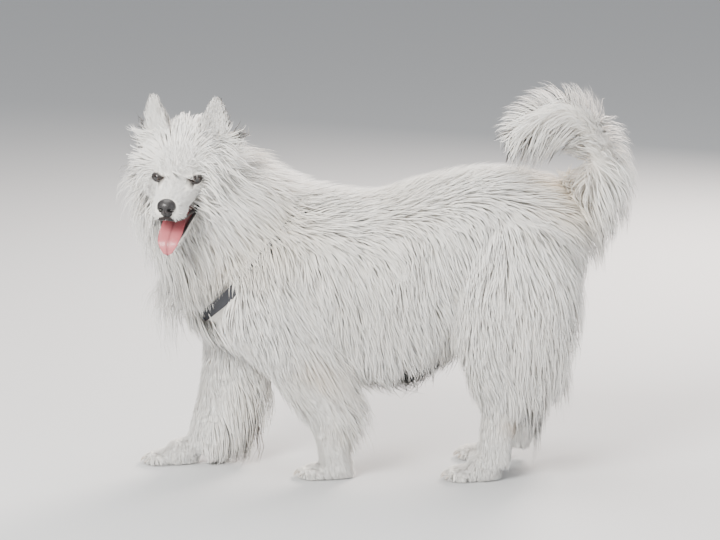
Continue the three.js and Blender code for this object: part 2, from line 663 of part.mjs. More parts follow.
const parts = [
  ...sides.map(([name, side]) => ({ name: `eye_${name}`, colour: palette.eye, pieces: (grow) => [eyeball(side, grow)] })),
  { name: "nose", colour: palette.skin, pieces: nosePieces, cuts: nostrils },
  {
    name: "tongue", colour: palette.tongue,
    pieces: (grow) => [tube(tongue, { steps: 9, sides: 8 }, grow)],
    cuts: () => [rod([onHead(70, 0, -59), onHead(124, 0, -87), onHead(146, 0, -96), onHead(162, 0, -118)], 1.8, 7, 4, 0)],
  },
  { name: "neck_strap", colour: palette.strap, pieces: (grow) => [strapPiece(share, grow)] },
  {
    name: "head", colour: palette.coat,
    pieces: (grow) => [
      tube(head, { steps: 12, sides: 12, share }, grow), ...facePieces(grow), ...lidPieces.map((make) => make(grow)),
      ...lockPieces(locks.head, grow),
    ],
  },
  {
    name: "jaw", colour: palette.coat,
    pieces: (grow) => [
      tube(jaw, { steps: 7, sides: 10, share }, grow), ...sides.flatMap(([, side]) => jawLipPieces(side, grow)),
    ],
  },
  ...sides.map(([name, side]) => ({
    name: `ear_${name}`, colour: palette.coat,
    pieces: (grow) => [tube(earForm(side), { steps: 7, sides: 10, cap: 0.8 }, grow)],
    cuts: () => [tube(cupOf(side), { from: 0.45, to: 3.4, steps: 5, sides: 8, cap: 1 }, 0)],
  })),
  { name: "neck", colour: palette.coat, pieces: (grow) => [tube(neck, { steps: 5, sides: 11, share }, grow), ...lockPieces(locks.neck, grow)] },
  ...Object.entries(feet).map(([name, foot]) => ({
    name: `${name}_paw`, colour: palette.coat, pieces: (grow) => pawPieces(foot, grow), cuts: () => [floor()],
  })),
  ...[["fore_left", foreLeft, 2.8, leftHalf], ["fore_right", foreRight, 2.8, rightHalf],
    ["hind_left", hindLeft, 3.4, leftHalf], ["hind_right", hindRight, 3.4, rightHalf]].flatMap(([name, form, split, half]) => [
    {
      name: `${name}_upper`, colour: palette.coat,
      pieces: (grow) => [
        tube(form, { to: split, steps: 4, sides: 9, share }, grow), ...lockPieces(locks[name], grow, 0, split - 0.2),
      ],
      cuts: () => [half()],
    },
    {
      name: `${name}_lower`, colour: palette.coat,
      pieces: (grow) => [
        ...(name === smoothLower
          ? [tube(form, { from: split, steps: 10, sides: 14, share: 1 }, grow)]
          : [tube(form, { from: split, steps: 6, sides: 9, share }, grow), ...lockPieces(locks[name], grow, split - 0.2)]),
      ],
    },
  ]),
  ...[["tail_tip", 4.9, 7, 5], ["tail_middle", 2.4, 4.9, 6], ["tail_base", 0, 2.4, 5]].map(([name, from, to, steps]) => ({
    name, colour: palette.coat,
    pieces: (grow) => [
      tube(tail, { from, to, steps, sides: 9, share, cap: 0.8 }, grow), ...lockPieces(locks.tail, grow, from, to),
    ],
  })),
  { name: "torso", colour: palette.coat, pieces: (grow) => [tube(torso, { steps: 11, sides: 11, share }, grow), ...lockPieces(locks.torso, grow)] },
];

// The same solid with its shortest edges drawn together, or the solid itself where that would open it.
function drawTogether(solid, reach) {
  const { vertProperties, triVerts, numProp } = solid.getMesh();
  const place = (i) => vec(vertProperties[i * numProp], vertProperties[i * numProp + 1], vertProperties[i * numProp + 2]);
  const into = Array.from({ length: vertProperties.length / numProp }, (_, i) => i);
  const root = (i) => {
    while (into[i] !== i) i = into[i];
    return i;
  };
  for (let k = 0; k < triVerts.length; k += 3) {
    for (const [a, b] of [[0, 1], [1, 2], [2, 0]]) {
      const [p, q] = [root(triVerts[k + a]), root(triVerts[k + b])];
      if (p !== q && place(p).distanceTo(place(q)) < reach) into[Math.max(p, q)] = Math.min(p, q);
    }
  }
  const kept = [...new Set(into.map((_, i) => root(i)))];
  const number = new Map(kept.map((i, n) => [i, n]));
  const faces = [];
  for (let k = 0; k < triVerts.length; k += 3) {
    const face = [0, 1, 2].map((n) => number.get(root(triVerts[k + n])));
    if (new Set(face).size === 3) faces.push(face);
  }
  const points = new Float32Array(kept.flatMap((i) => place(i).toArray()));
  try {
    return new wasm.Manifold(new wasm.Mesh({ numProp: 3, vertProperties: points, triVerts: new Uint32Array(faces.flat()) }));
  } catch {
    return solid;
  }
}

// A part is its joined pieces less its own cuts and the grown pieces of the parts before it.
const largest = (solid) => solid.decompose().reduce((best, one) => (one.volume() > best.volume() ? one : best));
const grown = [];
const group = new THREE.Group();
for (const { name, colour, pieces, cuts = () => [] } of parts) {
  let solid = join(pieces(0));
  for (const cut of [...cuts(), ...grown]) solid = solid.subtract(cut);
  solid = largest(drawTogether(drawTogether(largest(solid), 0.01), 0.05));
  grown.push(join(pieces(gap)));
  const { vertProperties, triVerts, numProp } = solid.getMesh();
  const geometry = new THREE.BufferGeometry();
  const points = Array.from({ length: vertProperties.length / numProp }, (_, i) =>
    [0, 1, 2].map((n) => vertProperties[i * numProp + n])).flat();
  geometry.setAttribute("position", new THREE.Float32BufferAttribute(points, 3));
  geometry.setIndex([...triVerts]);
  const mesh = new THREE.Mesh(geometry, new THREE.MeshStandardMaterial({ color: colour, flatShading: true }));
  mesh.name = name;
  group.add(mesh);
}

// The origin is under the middle of the whole, on the floor.
const box = new THREE.Box3().setFromObject(group);
const middle = box.getCenter(vec(0, 0, 0));
for (const mesh of group.children) mesh.geometry.translate(-middle.x, -middle.y, -box.min.z);

export default group;
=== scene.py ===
# A standing samoyed, life size. Lengths in the tables are millimetres in the sculptor's frame,
# with the dog facing -X and its left side towards -Y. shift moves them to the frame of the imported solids.
import math

import bmesh
import bpy
import numpy as np
from mathutils import Matrix, Vector, kdtree, noise
from mathutils.bvhtree import BVHTree


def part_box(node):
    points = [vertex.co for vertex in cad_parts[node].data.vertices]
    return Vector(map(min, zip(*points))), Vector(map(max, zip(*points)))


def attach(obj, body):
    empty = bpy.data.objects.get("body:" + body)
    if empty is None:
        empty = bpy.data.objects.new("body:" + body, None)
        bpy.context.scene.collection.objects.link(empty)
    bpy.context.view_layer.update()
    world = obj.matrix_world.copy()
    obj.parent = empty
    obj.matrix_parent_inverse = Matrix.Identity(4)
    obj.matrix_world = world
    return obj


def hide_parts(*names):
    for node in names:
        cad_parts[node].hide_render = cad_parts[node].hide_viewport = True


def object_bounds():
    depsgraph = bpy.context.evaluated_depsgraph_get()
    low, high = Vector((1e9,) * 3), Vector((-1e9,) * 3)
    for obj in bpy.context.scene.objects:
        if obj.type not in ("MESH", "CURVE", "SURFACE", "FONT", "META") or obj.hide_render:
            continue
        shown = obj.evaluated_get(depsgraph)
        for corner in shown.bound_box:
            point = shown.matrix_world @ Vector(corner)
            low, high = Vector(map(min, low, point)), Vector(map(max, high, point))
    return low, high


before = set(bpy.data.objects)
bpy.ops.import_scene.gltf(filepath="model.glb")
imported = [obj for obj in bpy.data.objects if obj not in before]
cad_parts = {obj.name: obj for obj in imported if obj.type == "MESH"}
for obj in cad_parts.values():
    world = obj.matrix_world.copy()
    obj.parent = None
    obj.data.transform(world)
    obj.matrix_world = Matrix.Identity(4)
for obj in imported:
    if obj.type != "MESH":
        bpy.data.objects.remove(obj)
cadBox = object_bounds()
print("frame loaded")

scene = bpy.context.scene
rng = np.random.default_rng(7)

headSettings = {
    "at": (-349, -94, 626), "yaw": 80, "pitch": 12, "roll": 2,
    "eye": (57, 37, 1), "eyeRadius": 12,
}


def unit(v):
    v = np.asarray(v, float)
    return v / np.maximum(np.linalg.norm(v, axis=-1, keepdims=True), 1e-9)


def turned(v, axis, angle):  # v turned about axis by an angle in degrees
    return np.array(Matrix.Rotation(math.radians(angle), 3, Vector(axis)) @ Vector(v))


def headAxes():
    forward = turned((-1, 0, 0), (0, 0, 1), headSettings["yaw"])
    left = unit(np.cross((0, 0, 1), forward))
    forward = turned(forward, left, headSettings["pitch"])
    left = turned(left, forward, -headSettings["roll"])
    return np.array([forward, left, np.cross(forward, left)])


headFrame = headAxes()  # rows: forward along the muzzle, the dog's left, the top of the head
headAt = np.array(headSettings["at"], float)


def onHead(forward, left, up):
    return headAt + np.array([forward, left, up], float) @ headFrame


def inHead(points):
    return (np.asarray(points, float) - headAt) @ headFrame.T


low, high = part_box("eye_left")
shift = 500 * (np.array(low) + np.array(high)) - onHead(*headSettings["eye"])


def metres(points):
    return (np.asarray(points, float) + shift) / 1000


def sculptor(points):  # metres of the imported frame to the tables' millimetres
    return np.asarray(points, float) * 1000 - shift


# The body's forms: rings of [middle], [side, up, down] of the flesh and the coat's depth there.
forms = {
    "torso": {"up": (0, 0, 1), "skin": 0.36, "rings": [
        ((-345, 0, 375), (42, 46, 50), (50, 60, 50)), ((-300, 0, 385), (74, 78, 84), (48, 55, 62)),
        ((-225, 0, 403), (98, 115, 116), (45, 45, 70)), ((-150, 0, 405), (112, 138, 138), (42, 42, 72)),
        ((-60, 0, 400), (118, 138, 147), (42, 40, 80)), ((30, 0, 398), (118, 136, 148), (44, 38, 82)),
        ((110, 0, 415), (112, 134, 134), (46, 38, 78)), ((190, 0, 445), (104, 125, 118), (46, 40, 70)),
        ((270, 0, 470), (98, 110, 100), (46, 42, 60)), ((345, 0, 478), (90, 90, 85), (48, 44, 60)),
        ((405, 0, 478), (68, 62, 65), (50, 44, 65)), ((440, 0, 474), (34, 36, 40), (50, 44, 65)),
    ]},
    "neck": {"up": (0, 0, 1), "skin": 0.36, "rings": [
        ((-150, 0, 440), (92, 88, 100), (40, 46, 60)), ((-215, 0, 485), (86, 80, 98), (62, 66, 130)),
        ((-280, -3, 535), (78, 70, 90), (76, 72, 118)), ((-326, -12, 582), (71, 60, 78), (84, 62, 95)),
        ((-347, -30, 622), (62, 50, 62), (74, 46, 74)),
    ]},
    "foreLeft": {"up": (-1, 0, 0), "skin": 0.3, "rings": [
        ((-165, -72, 470), (38, 58, 70), (40, 30, 30)), ((-205, -92, 385), (46, 62, 74), (36, 36, 36)),
        ((-180, -96, 315), (45, 56, 70), (30, 30, 45)), ((-138, -92, 250), (36, 44, 52), (22, 28, 66)),
        ((-106, -86, 190), (29, 32, 36), (16, 34, 82)), ((-80, -80, 130), (24, 25, 28), (12, 16, 58)),
        ((-62, -74, 72), (22, 22, 24), (9, 10, 24)), ((-56, -70, 22), (23, 22, 22), (8, 8, 14)),
    ]},
    "foreRight": {"up": (-1, 0, 0), "skin": 0.3, "rings": [
        ((-165, 72, 470), (38, 58, 70), (40, 30, 30)), ((-235, 88, 385), (46, 62, 78), (36, 36, 36)),
        ((-252, 88, 315), (45, 54, 74), (30, 30, 45)), ((-266, 78, 240), (36, 42, 48), (22, 22, 74)),
        ((-286, 66, 172), (28, 30, 34), (15, 18, 92)), ((-306, 54, 108), (23, 24, 27), (11, 14, 84)),
        ((-326, 45, 54), (22, 22, 24), (9, 9, 56)), ((-340, 42, 18), (22, 20, 24), (8, 7, 30)),
    ]},
    "hindLeft": {"up": (-1, 0, 0), "skin": 0.3, "rings": [
        ((330, -70, 490), (45, 88, 72), (40, 30, 45)), ((312, -92, 420), (52, 98, 84), (40, 28, 70)),
        ((288, -100, 350), (50, 78, 78), (36, 26, 95)), ((266, -102, 285), (40, 50, 62), (28, 28, 95)),
        ((272, -98, 212), (30, 36, 42), (20, 26, 70)), ((286, -92, 138), (23, 28, 25), (12, 16, 22)),
        ((277, -88, 80), (20, 25, 24), (9, 10, 12)), ((270, -86, 22), (21, 24, 26), (8, 8, 12)),
    ]},
    "hindRight": {"up": (-1, 0, 0), "skin": 0.3, "rings": [
        ((335, 70, 490), (45, 88, 72), (40, 30, 45)), ((322, 92, 420), (52, 98, 84), (40, 28, 70)),
        ((305, 98, 350), (50, 78, 76), (36, 26, 92)), ((300, 96, 285), (40, 52, 60), (28, 24, 92)),
        ((330, 92, 212), (30, 34, 40), (20, 18, 64)), ((357, 86, 138), (23, 25, 25), (12, 12, 24)),
        ((342, 82, 80), (20, 24, 24), (9, 9, 14)), ((322, 80, 22), (21, 22, 26), (8, 8, 12)),
    ]},
    "tail": {"up": (0, 1, 0), "skin": 0.22, "rings": [
        ((378, 0, 512), (26, 26, 26), (36, 34, 34)), ((442, 0, 538), (22, 22, 22), (58, 56, 56)),
        ((486, -2, 592), (20, 20, 20), (58, 60, 60)), ((484, -5, 650), (17, 17, 17), (46, 62, 62)),
        ((456, -9, 700), (15, 15, 15), (44, 64, 64)), ((410, -14, 722), (13, 13, 13), (48, 64, 64)),
        ((358, -18, 712), (11, 11, 11), (48, 58, 58)), ((314, -22, 678), (8, 8, 8), (34, 42, 42)),
    ]},
}


def headRings(rows):
    return [(tuple(onHead(f, 0, u)), flesh, coat) for f, u, flesh, coat in rows]


headUp = tuple(headFrame[2])
forms["head"] = {"up": headUp, "skin": 0.2, "rings": headRings([
    (-88, 10, (20, 20, 22), (34, 26, 34)), (-70, 10, (44, 42, 46), (46, 28, 42)),
    (-40, 8, (60, 54, 62), (54, 28, 46)), (-5, 6, (66, 55, 66), (44, 22, 42)),
    (28, 0, (60, 46, 60), (18, 12, 22)), (50, -8, (47, 34, 48), (5, 4, 10)),
    (72, -20, (37, 23, 34), (4, 3, 6)), (100, -27, (32, 21, 27), (6, 4, 5)),
    (130, -30, (28, 20, 24), (5, 4, 4)), (148, -31, (22, 17, 20), (4, 3, 3)),
])}
forms["jaw"] = {"up": headUp, "skin": 0.2, "rings": headRings([
    (12, -46, (38, 14, 22), (18, 3, 24)), (55, -72, (33, 11, 17), (10, 3, 16)),
    (92, -92, (25, 8, 13), (6, 2, 8)), (120, -106, (19, 8, 10), (5, 2, 5)),
    (133, -112, (11, 6, 6), (4, 2, 4)),
])}
floorAt = -17


def rowOf(form, key, i):
    rings = form["rings"]
    return np.array(rings[max(0, min(len(rings) - 1, i))][key], float)


def curved(a, b, c, d, k):  # a smooth curve from b to c, with a and d beyond its ends
    return 0.5 * (2 * b + (c - a) * k + (2 * a - 5 * b + 4 * c - d) * k * k + (3 * b - a - 3 * c + d) * k ** 3)


def stationAt(form, t):
    last = len(form["rings"]) - 1
    i = min(int(math.floor(t)), last - 1)
    k = t - i

    def mix(key):
        return curved(*(rowOf(form, key, i + n) for n in (-1, 0, 1, 2)), k)

    ahead = rowOf(form, 0, i + 1) - rowOf(form, 0, i)
    before = rowOf(form, 0, i) - rowOf(form, 0, i - 1) if i > 0 else ahead
    after = rowOf(form, 0, i + 2) - rowOf(form, 0, i + 1) if i < last - 1 else ahead
    along = unit((unit(before) + unit(ahead)) * (1 - k) + (unit(after) + unit(ahead)) * k)
    side = unit(np.cross(form["up"], along))
    return {"middle": mix(0), "flesh": np.maximum(mix(1), 2), "coat": np.maximum(mix(2), 0),
            "along": along, "side": side, "up": np.cross(along, side)}


def ringAt(form, t, share, sides):
    s = stationAt(form, t)
    half = s["flesh"] + s["coat"] * share
    angle = 2 * np.pi * (np.arange(sides) + 0.5) / sides
    tall = np.where(np.sin(angle) > 0, half[1], half[2])
    wide = np.outer(np.cos(angle) * half[0], s["side"])
    return s["middle"] + wide + np.outer(np.sin(angle) * tall, s["up"]), s


class Shape:  # points and faces gathered from several closed forms
    def __init__(self):
        self.points, self.faces = [], []

    def add(self, points, faces):
        start = sum(len(p) for p in self.points)
        self.points.append(np.asarray(points, float))
        self.faces += [tuple(i + start for i in face) for face in faces]

    def mesh(self, name):
        data = bpy.data.meshes.new(name)
        data.from_pydata(metres(np.concatenate(self.points)).tolist(), [], self.faces)
        data.update()
        return data


def skinOver(rings, first, final):
    sides, count = len(rings[0]), len(rings)
    points = np.concatenate([[first], *rings, [final]])
    faces = []
    for j in range(sides):
        m = (j + 1) % sides
        faces.append((0, 1 + m, 1 + j))
        for i in range(count - 1):
            a, b = 1 + i * sides, 1 + (i + 1) * sides
            faces.append((a + j, a + m, b + m, b + j))
        top = 1 + (count - 1) * sides
        faces.append((top + j, top + m, len(points) - 1))
    return points, faces


def addForm(shape, form, steps, sides, share, cap=0.35):
    last = len(form["rings"]) - 1
    rings, stations = zip(*(ringAt(form, last * i / steps, share, sides) for i in range(steps + 1)))
    tips = [s["middle"] + way * cap * (s["flesh"][1] + s["coat"][1] * share) * s["along"]
            for s, way in ((stations[0], -1), (stations[-1], 1))]
    shape.add(*skinOver(list(rings), *tips))


def addBall(shape, middle, half, axes=None, across=24, down=16):
    axes = np.eye(3) if axes is None else axes
    turns = np.linspace(0, 2 * np.pi, across, endpoint=False)
    rings = [np.stack([np.cos(turns) * np.sin(v), np.sin(turns) * np.sin(v), np.full(across, np.cos(v))], 1)
             for v in np.linspace(0, np.pi, down + 1)[1:-1]]

    def place(p):
        return np.asarray(middle) + (np.asarray(p) * half) @ axes

    points, faces = skinOver([place(r) for r in rings], place((0, 0, 1)), place((0, 0, -1)))
    shape.add(points, [face[::-1] for face in faces])


def smoothLine(points, count):  # a curve through the points, evenly spread
    p = np.asarray(points, float)
    q = np.concatenate([[2 * p[0] - p[1]], p, [2 * p[-1] - p[-2]]])
    fine = []
    for i in range(len(p) - 1):
        for k in np.linspace(0, 1, 24, endpoint=False):
            fine.append(curved(*q[i:i + 4], k))
    fine.append(p[-1])
    fine = np.array(fine)
    far = np.concatenate([[0], np.cumsum(np.linalg.norm(np.diff(fine, axis=0), axis=1))])
    wanted = np.linspace(0, far[-1], count)
    return np.stack([np.interp(wanted, far, fine[:, n]) for n in range(3)], 1)


def addRod(shape, points, radius, steps=24, sides=10, taper=None, flat=1.0):
    line = smoothLine(points, steps)
    ahead = unit(np.gradient(line, axis=0))
    side = unit(np.cross(ahead, headFrame[2]))
    up = np.cross(side, ahead)
    taper = ((0, 1), (1, 1)) if taper is None else taper
    size = radius * np.interp(np.linspace(0, 1, steps), *taper)
    turns = np.linspace(0, 2 * np.pi, sides, endpoint=False)
    rings = []
    for i in range(steps):
        around = np.outer(np.cos(turns), side[i]) + flat * np.outer(np.sin(turns), up[i])
        rings.append(line[i] + size[i] * around)
    shape.add(*skinOver(rings, line[0] - ahead[0] * size[0] * 0.5, line[-1] + ahead[-1] * size[-1] * 0.5))


def remeshed(data, name, voxel, smooth):  # one closed skin over everything in the mesh, smoothed
    thing = bpy.data.objects.new(name, data)
    scene.collection.objects.link(thing)
    grid = thing.modifiers.new("grid", "REMESH")
    grid.mode = "VOXEL"
    grid.voxel_size = voxel / 1000
    if smooth:
        soft = thing.modifiers.new("soft", "SMOOTH")
        soft.iterations = smooth
        soft.factor = 0.5
    made = bpy.data.meshes.new_from_object(thing.evaluated_get(bpy.context.evaluated_depsgraph_get()))
    bpy.data.objects.remove(thing)
    made.name = name
    return made


def coordsOf(data):
    out = np.empty(len(data.vertices) * 3, np.float32)
    data.vertices.foreach_get("co", out)
    return out.reshape(-1, 3).astype(float)


def setCoords(data, points):
    data.vertices.foreach_set("co", np.asarray(points, np.float32).ravel())
    data.update()


def shown(data, name, replaces=(), material=None):
    thing = bpy.data.objects.new(name, data)
    scene.collection.objects.link(thing)
    data.polygons.foreach_set("use_smooth", [True] * len(data.polygons))
    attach(thing, "root")
    for node in replaces:
        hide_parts(node)
    if material:
        data.materials.clear()
        data.materials.append(material)
    return thing


# Materials. A node group gives fine grain as a normal; the shader keeps its own settings.
def makeGrainGroup():
    group = bpy.data.node_groups.new("fineGrain", "ShaderNodeTree")
    for name, value in (("Scale", 900.0), ("Depth", 0.2)):
        socket = group.interface.new_socket(name=name, in_out="INPUT", socket_type="NodeSocketFloat")
        socket.default_value = value
    group.interface.new_socket(name="Normal", in_out="OUTPUT", socket_type="NodeSocketVector")
    group.interface.new_socket(name="Mask", in_out="OUTPUT", socket_type="NodeSocketFloat")
    nodes, links = group.nodes, group.links
    inside, outside = nodes.new("NodeGroupInput"), nodes.new("NodeGroupOutput")
    place = nodes.new("ShaderNodeTexCoord")
    cells = nodes.new("ShaderNodeTexVoronoi")
    cells.feature = "SMOOTH_F1"
    bump = nodes.new("ShaderNodeBump")
    bump.inputs["Distance"].default_value = 0.0006
    links.new(place.outputs["Object"], cells.inputs["Vector"])
    links.new(inside.outputs["Scale"], cells.inputs["Scale"])
    links.new(cells.outputs["Distance"], bump.inputs["Height"])
    links.new(inside.outputs["Depth"], bump.inputs["Strength"])
    links.new(bump.outputs["Normal"], outside.inputs["Normal"])
    links.new(cells.outputs["Distance"], outside.inputs["Mask"])
    return group


def makeMaterial(name, colour, roughness, painted=False, grain=None, sheen=0.0, coat=0.0,
                 specular=0.5, scatter=0.0, scatterReach=(0.012, 0.006, 0.004)):
    material = bpy.data.materials.new(name)
    material.use_nodes = True
    nodes, links = material.node_tree.nodes, material.node_tree.links
    shader = nodes["Principled BSDF"]
    shader.inputs["Base Color"].default_value = (*colour, 1)
    shader.inputs["Roughness"].default_value = roughness
    shader.inputs["Sheen Weight"].default_value = sheen
    shader.inputs["Coat Weight"].default_value = coat
    shader.inputs["Coat Roughness"].default_value = 0.06
    shader.inputs["Specular IOR Level"].default_value = specular
    if scatter:
        shader.inputs["Subsurface Weight"].default_value = scatter
        shader.inputs["Subsurface Radius"].default_value = scatterReach
    if painted:
        paint = nodes.new("ShaderNodeVertexColor")
        paint.layer_name = "paint"
        links.new(paint.outputs["Color"], shader.inputs["Base Color"])
    if grain:
        group = nodes.new("ShaderNodeGroup")
        group.node_tree = grainGroup
        group.inputs["Scale"].default_value = grain[0]
        group.inputs["Depth"].default_value = grain[1]
        links.new(group.outputs["Normal"], shader.inputs["Normal"])
    return material


grainGroup = makeGrainGroup()
materials = {
    "coat": makeMaterial("coatHair", (0.9, 0.87, 0.81), 0.62, painted=True, sheen=0.25, specular=0.25,
                         scatter=0.5, scatterReach=(0.009, 0.0085, 0.008)),
    "skin": makeMaterial("coatUnder", (0.88, 0.84, 0.78), 0.8, painted=True, specular=0.2),
    "lips": makeMaterial("lipSkin", (0.02, 0.017, 0.017), 0.38, grain=(900, 0.25), coat=0.15),
    "nose": makeMaterial("noseLeather", (0.016, 0.014, 0.015), 0.42, grain=(1100, 0.6), coat=0.25),
    "tongue": makeMaterial("tongueSkin", (0.72, 0.27, 0.3), 0.42, painted=True, grain=(1500, 0.25),
                           coat=0.2, scatter=0.15),
    "eye": makeMaterial("eyeball", (0.05, 0.03, 0.02), 0.08, painted=True, coat=1.0),
    "claw": makeMaterial("claw", (0.5, 0.43, 0.36), 0.35, coat=0.2),
    "strap": makeMaterial("strapWebbing", (0.035, 0.037, 0.045), 0.75, grain=(1400, 0.5)),
}
print("materials made")


def paint(data, colours):  # one colour at each point
    layer = data.color_attributes.new("paint", "FLOAT_COLOR", "POINT")
    rgba = np.ones((len(colours), 4), np.float32)
    rgba[:, :3] = colours
    layer.data.foreach_set("color", rgba.ravel())


# Where the white coat is tinted: place, reach, strength and colour.
tintSettings = {
    "white": (0.965, 0.932, 0.872),
    "patches": [
        ((-108, -130, 240), 42, 0.5, (0.72, 0.58, 0.44)),
        ((300, -95, 120), 26, 0.75, (0.6, 0.46, 0.33)), ((372, 88, 120), 30, 0.5, (0.68, 0.54, 0.4)),
        ((385, -20, 560), 62, 0.85, (0.88, 0.66, 0.42)), ((-180, -130, 530), 80, 0.45, (0.86, 0.76, 0.6)),
        ((-120, -130, 520), 60, 0.25, (0.86, 0.77, 0.62)), ((60, -60, 560), 120, 0.25, (0.85, 0.76, 0.62)),
        ((-250, 70, 130), 60, 0.25, (0.86, 0.77, 0.63)), ((-40, -90, 110), 50, 0.3, (0.84, 0.74, 0.6)),
        ((330, -60, 330), 110, 0.25, (0.88, 0.8, 0.68)), ((-300, -90, 455), 62, 0.45, (0.8, 0.69, 0.54)),
        ((-230, -150, 470), 60, 0.35, (0.82, 0.72, 0.58)), ((-20, -120, 380), 120, 0.2, (0.85, 0.77, 0.65)),
    ],
}


def tintAt(points):  # the coat's own colour at places in millimetres
    colour = np.tile(np.array(tintSettings["white"]), (len(points), 1))
    for at, reach, strength, tone in tintSettings["patches"]:
        far = np.linalg.norm(points - np.array(at), axis=1)
        share = (strength * np.exp(-(far / reach) ** 2))[:, None]
        colour = colour * (1 - share) + np.array(tone) * share
    return colour


# The skin: the body's forms and the head's forms each drawn over with a fine closed surface, the head finer than
# the body, and the two put in one mesh.
skinSettings = {"bodyVoxel": 5.4, "headVoxel": 2.3, "bodySmooth": 10, "headSmooth": 7}

feet = {"foreLeft": (-66, -70), "foreRight": (-388, 42), "hindLeft": (234, -86), "hindRight": (266, 80)}
toes = [(-32, -21, 10, 11), (-41, -8, 11, 11.5), (-41, 8, 11, 11.5), (-32, 21, 10, 11)]


def makeBodySkin():
    body = Shape()
    addForm(body, forms["torso"], 44, 48, forms["torso"]["skin"])
    addForm(body, forms["neck"], 24, 44, forms["neck"]["skin"])
    for name in feet:
        addForm(body, forms[name], 30, 30, forms[name]["skin"])
    addForm(body, forms["tail"], 40, 24, forms["tail"]["skin"], cap=0.9)
    for x, y in feet.values():
        addBall(body, (x + 6, y, floorAt + 15), (47, 26, 15))
        addBall(body, (x + 16, y, floorAt + 26), (31, 26, 26))
        for toeX, toeY, toeZ, half in toes:
            addBall(body, (x + toeX, y + toeY, floorAt + toeZ + 1.5), (20, half - 1, 11), across=16, down=12)
    return remeshed(body.mesh("bodyForms"), "bodySkin", skinSettings["bodyVoxel"], skinSettings["bodySmooth"])


faceSettings = {
    "brow": ((36, 29, 18), (21, 19, 9)), "cheek": ((22, 44, -26), (34, 22, 28)),
    "pad": ((122, 15, -38), (30, 17.5, 17)),
    "lip": [(156, 2, -47), (146, 14, -52), (122, 23, -57), (92, 28, -59), (62, 35, -61), (40, 41, -59)],
    "jawLip": [(139, 2, -109), (130, 10, -104), (106, 20, -94), (76, 28, -79), (52, 35, -67), (34, 40, -60)],
}


def makeHeadSkin():
    head = Shape()
    addForm(head, forms["head"], 36, 44, 0.22)
    addForm(head, forms["jaw"], 24, 28, 0.2)
    for side in (1, -1):
        for name in ("brow", "cheek", "pad"):
            (f, l, u), half = faceSettings[name]
            addBall(head, onHead(f, side * l, u), half, headFrame)
        for name, radius in (("lip", 3.6), ("jawLip", 3.0)):
            addRod(head, [onHead(f, side * l, u) for f, l, u in faceSettings[name]], radius, 30, 10)
        addEar(head, side)
    return remeshed(head.mesh("headForms"), "headSkin", skinSettings["headVoxel"], skinSettings["headSmooth"])


earSettings = {
    "facing": 30, "cup": 0.62,  # rings: out, back, up, half width and thickness
    "rings": [(50, 16, 30, 36, 12), (55, 18, 64, 34, 9), (59, 20, 94, 28.5, 7.5),
              (62, 21, 119, 19.5, 6), (63, 22, 134, 11, 4)],
}


def earFrame(side):
    turn = math.radians(earSettings["facing"])
    facing = np.array([math.cos(turn), side * math.sin(turn), 0]) @ headFrame
    return unit(facing)


def addEar(shape, side):  # a leaf with a hollow front: each ring is a thin crescent
    facing = earFrame(side)
    rows = [(onHead(-back, side * out, up), wide, thick) for out, back, up, wide, thick in earSettings["rings"]]
    centre = smoothLine([r[0] for r in rows], 22)
    k = np.linspace(0, len(rows) - 1, 22)
    wide = np.interp(k, range(len(rows)), [r[1] for r in rows])
    thick = np.interp(k, range(len(rows)), [r[2] for r in rows])
    rings = []
    ahead = unit(np.gradient(centre, axis=0))
    for i in range(22):
        across = unit(np.cross(facing, ahead[i]))
        out = np.cross(ahead[i], across)
        out = out if out @ facing > 0 else -out
        turns = np.linspace(0, 2 * np.pi, 36, endpoint=False)
        x, y = np.cos(turns), np.sin(turns)
        hollow = earSettings["cup"] * (1 - x ** 2) * min(1, 0.35 + i / 9) * (1 - (i / 21) ** 4)
        depth = np.where(y > 0, -hollow + 0.32 * y, y)
        rings.append(centre[i] + np.outer(x * wide[i], across) + np.outer(depth * thick[i] * 1.35, out))
    points, faces = skinOver(rings, centre[0] - ahead[0] * 3, centre[-1] + ahead[-1] * 5)
    shape.add(points, faces)


# The eye's opening in the skin: an almond, its outer corner higher, wider on top than below.
lidSettings = {"halfWide": 10.6, "top": 7.0, "low": 5.6, "point": 1.6, "tilt": 14, "outward": 22,
               "lidDepth": 1.3, "blend": 2.3}


def eyeAxes(side):
    turn = math.radians(lidSettings["outward"])
    look = np.array([math.cos(turn), side * math.sin(turn), 0.06]) @ headFrame
    look = unit(look)
    across = unit(np.cross(headFrame[2], look)) * side  # towards the outer corner
    tilt = math.radians(lidSettings["tilt"])
    up = unit(np.cross(look, across) * side)
    across, up = math.cos(tilt) * across + math.sin(tilt) * up, math.cos(tilt) * up - math.sin(tilt) * across
    return look, across, up


def eyeMiddle(side):
    f, l, u = headSettings["eye"]
    return onHead(f, side * l, u)


def almond(x, y):  # under 1 inside the opening
    tall = np.where(y > 0, lidSettings["top"], lidSettings["low"])
    point = lidSettings["point"]
    return (np.abs(x / lidSettings["halfWide"]) ** point + np.abs(y / tall) ** point) ** (1 / point)


def openEyes(points):
    for side in (1, -1):
        middle = eyeMiddle(side)
        look, across, up = eyeAxes(side)
        fromEye = points - middle
        far = np.linalg.norm(fromEye, axis=1)
        near = (far < 30) & (fromEye @ look > 0)
        local = fromEye[near]
        r = far[near]
        way = local / r[:, None]
        radius = headSettings["eyeRadius"]
        e = almond(way @ across * radius, way @ up * radius)
        lidR = radius + lidSettings["lidDepth"]
        inner = np.clip((0.92 - e) / 0.12, 0, 1)
        outer = np.clip((e - 1.0) / (lidSettings["blend"] - 1.0), 0, 1) ** 1.2
        over = lidR * (1 - outer) + np.maximum(r, lidR) * outer
        wanted = over * (1 - inner) + (radius - 2.6) * inner
        points[near] = middle + way * wanted[:, None]
    return points


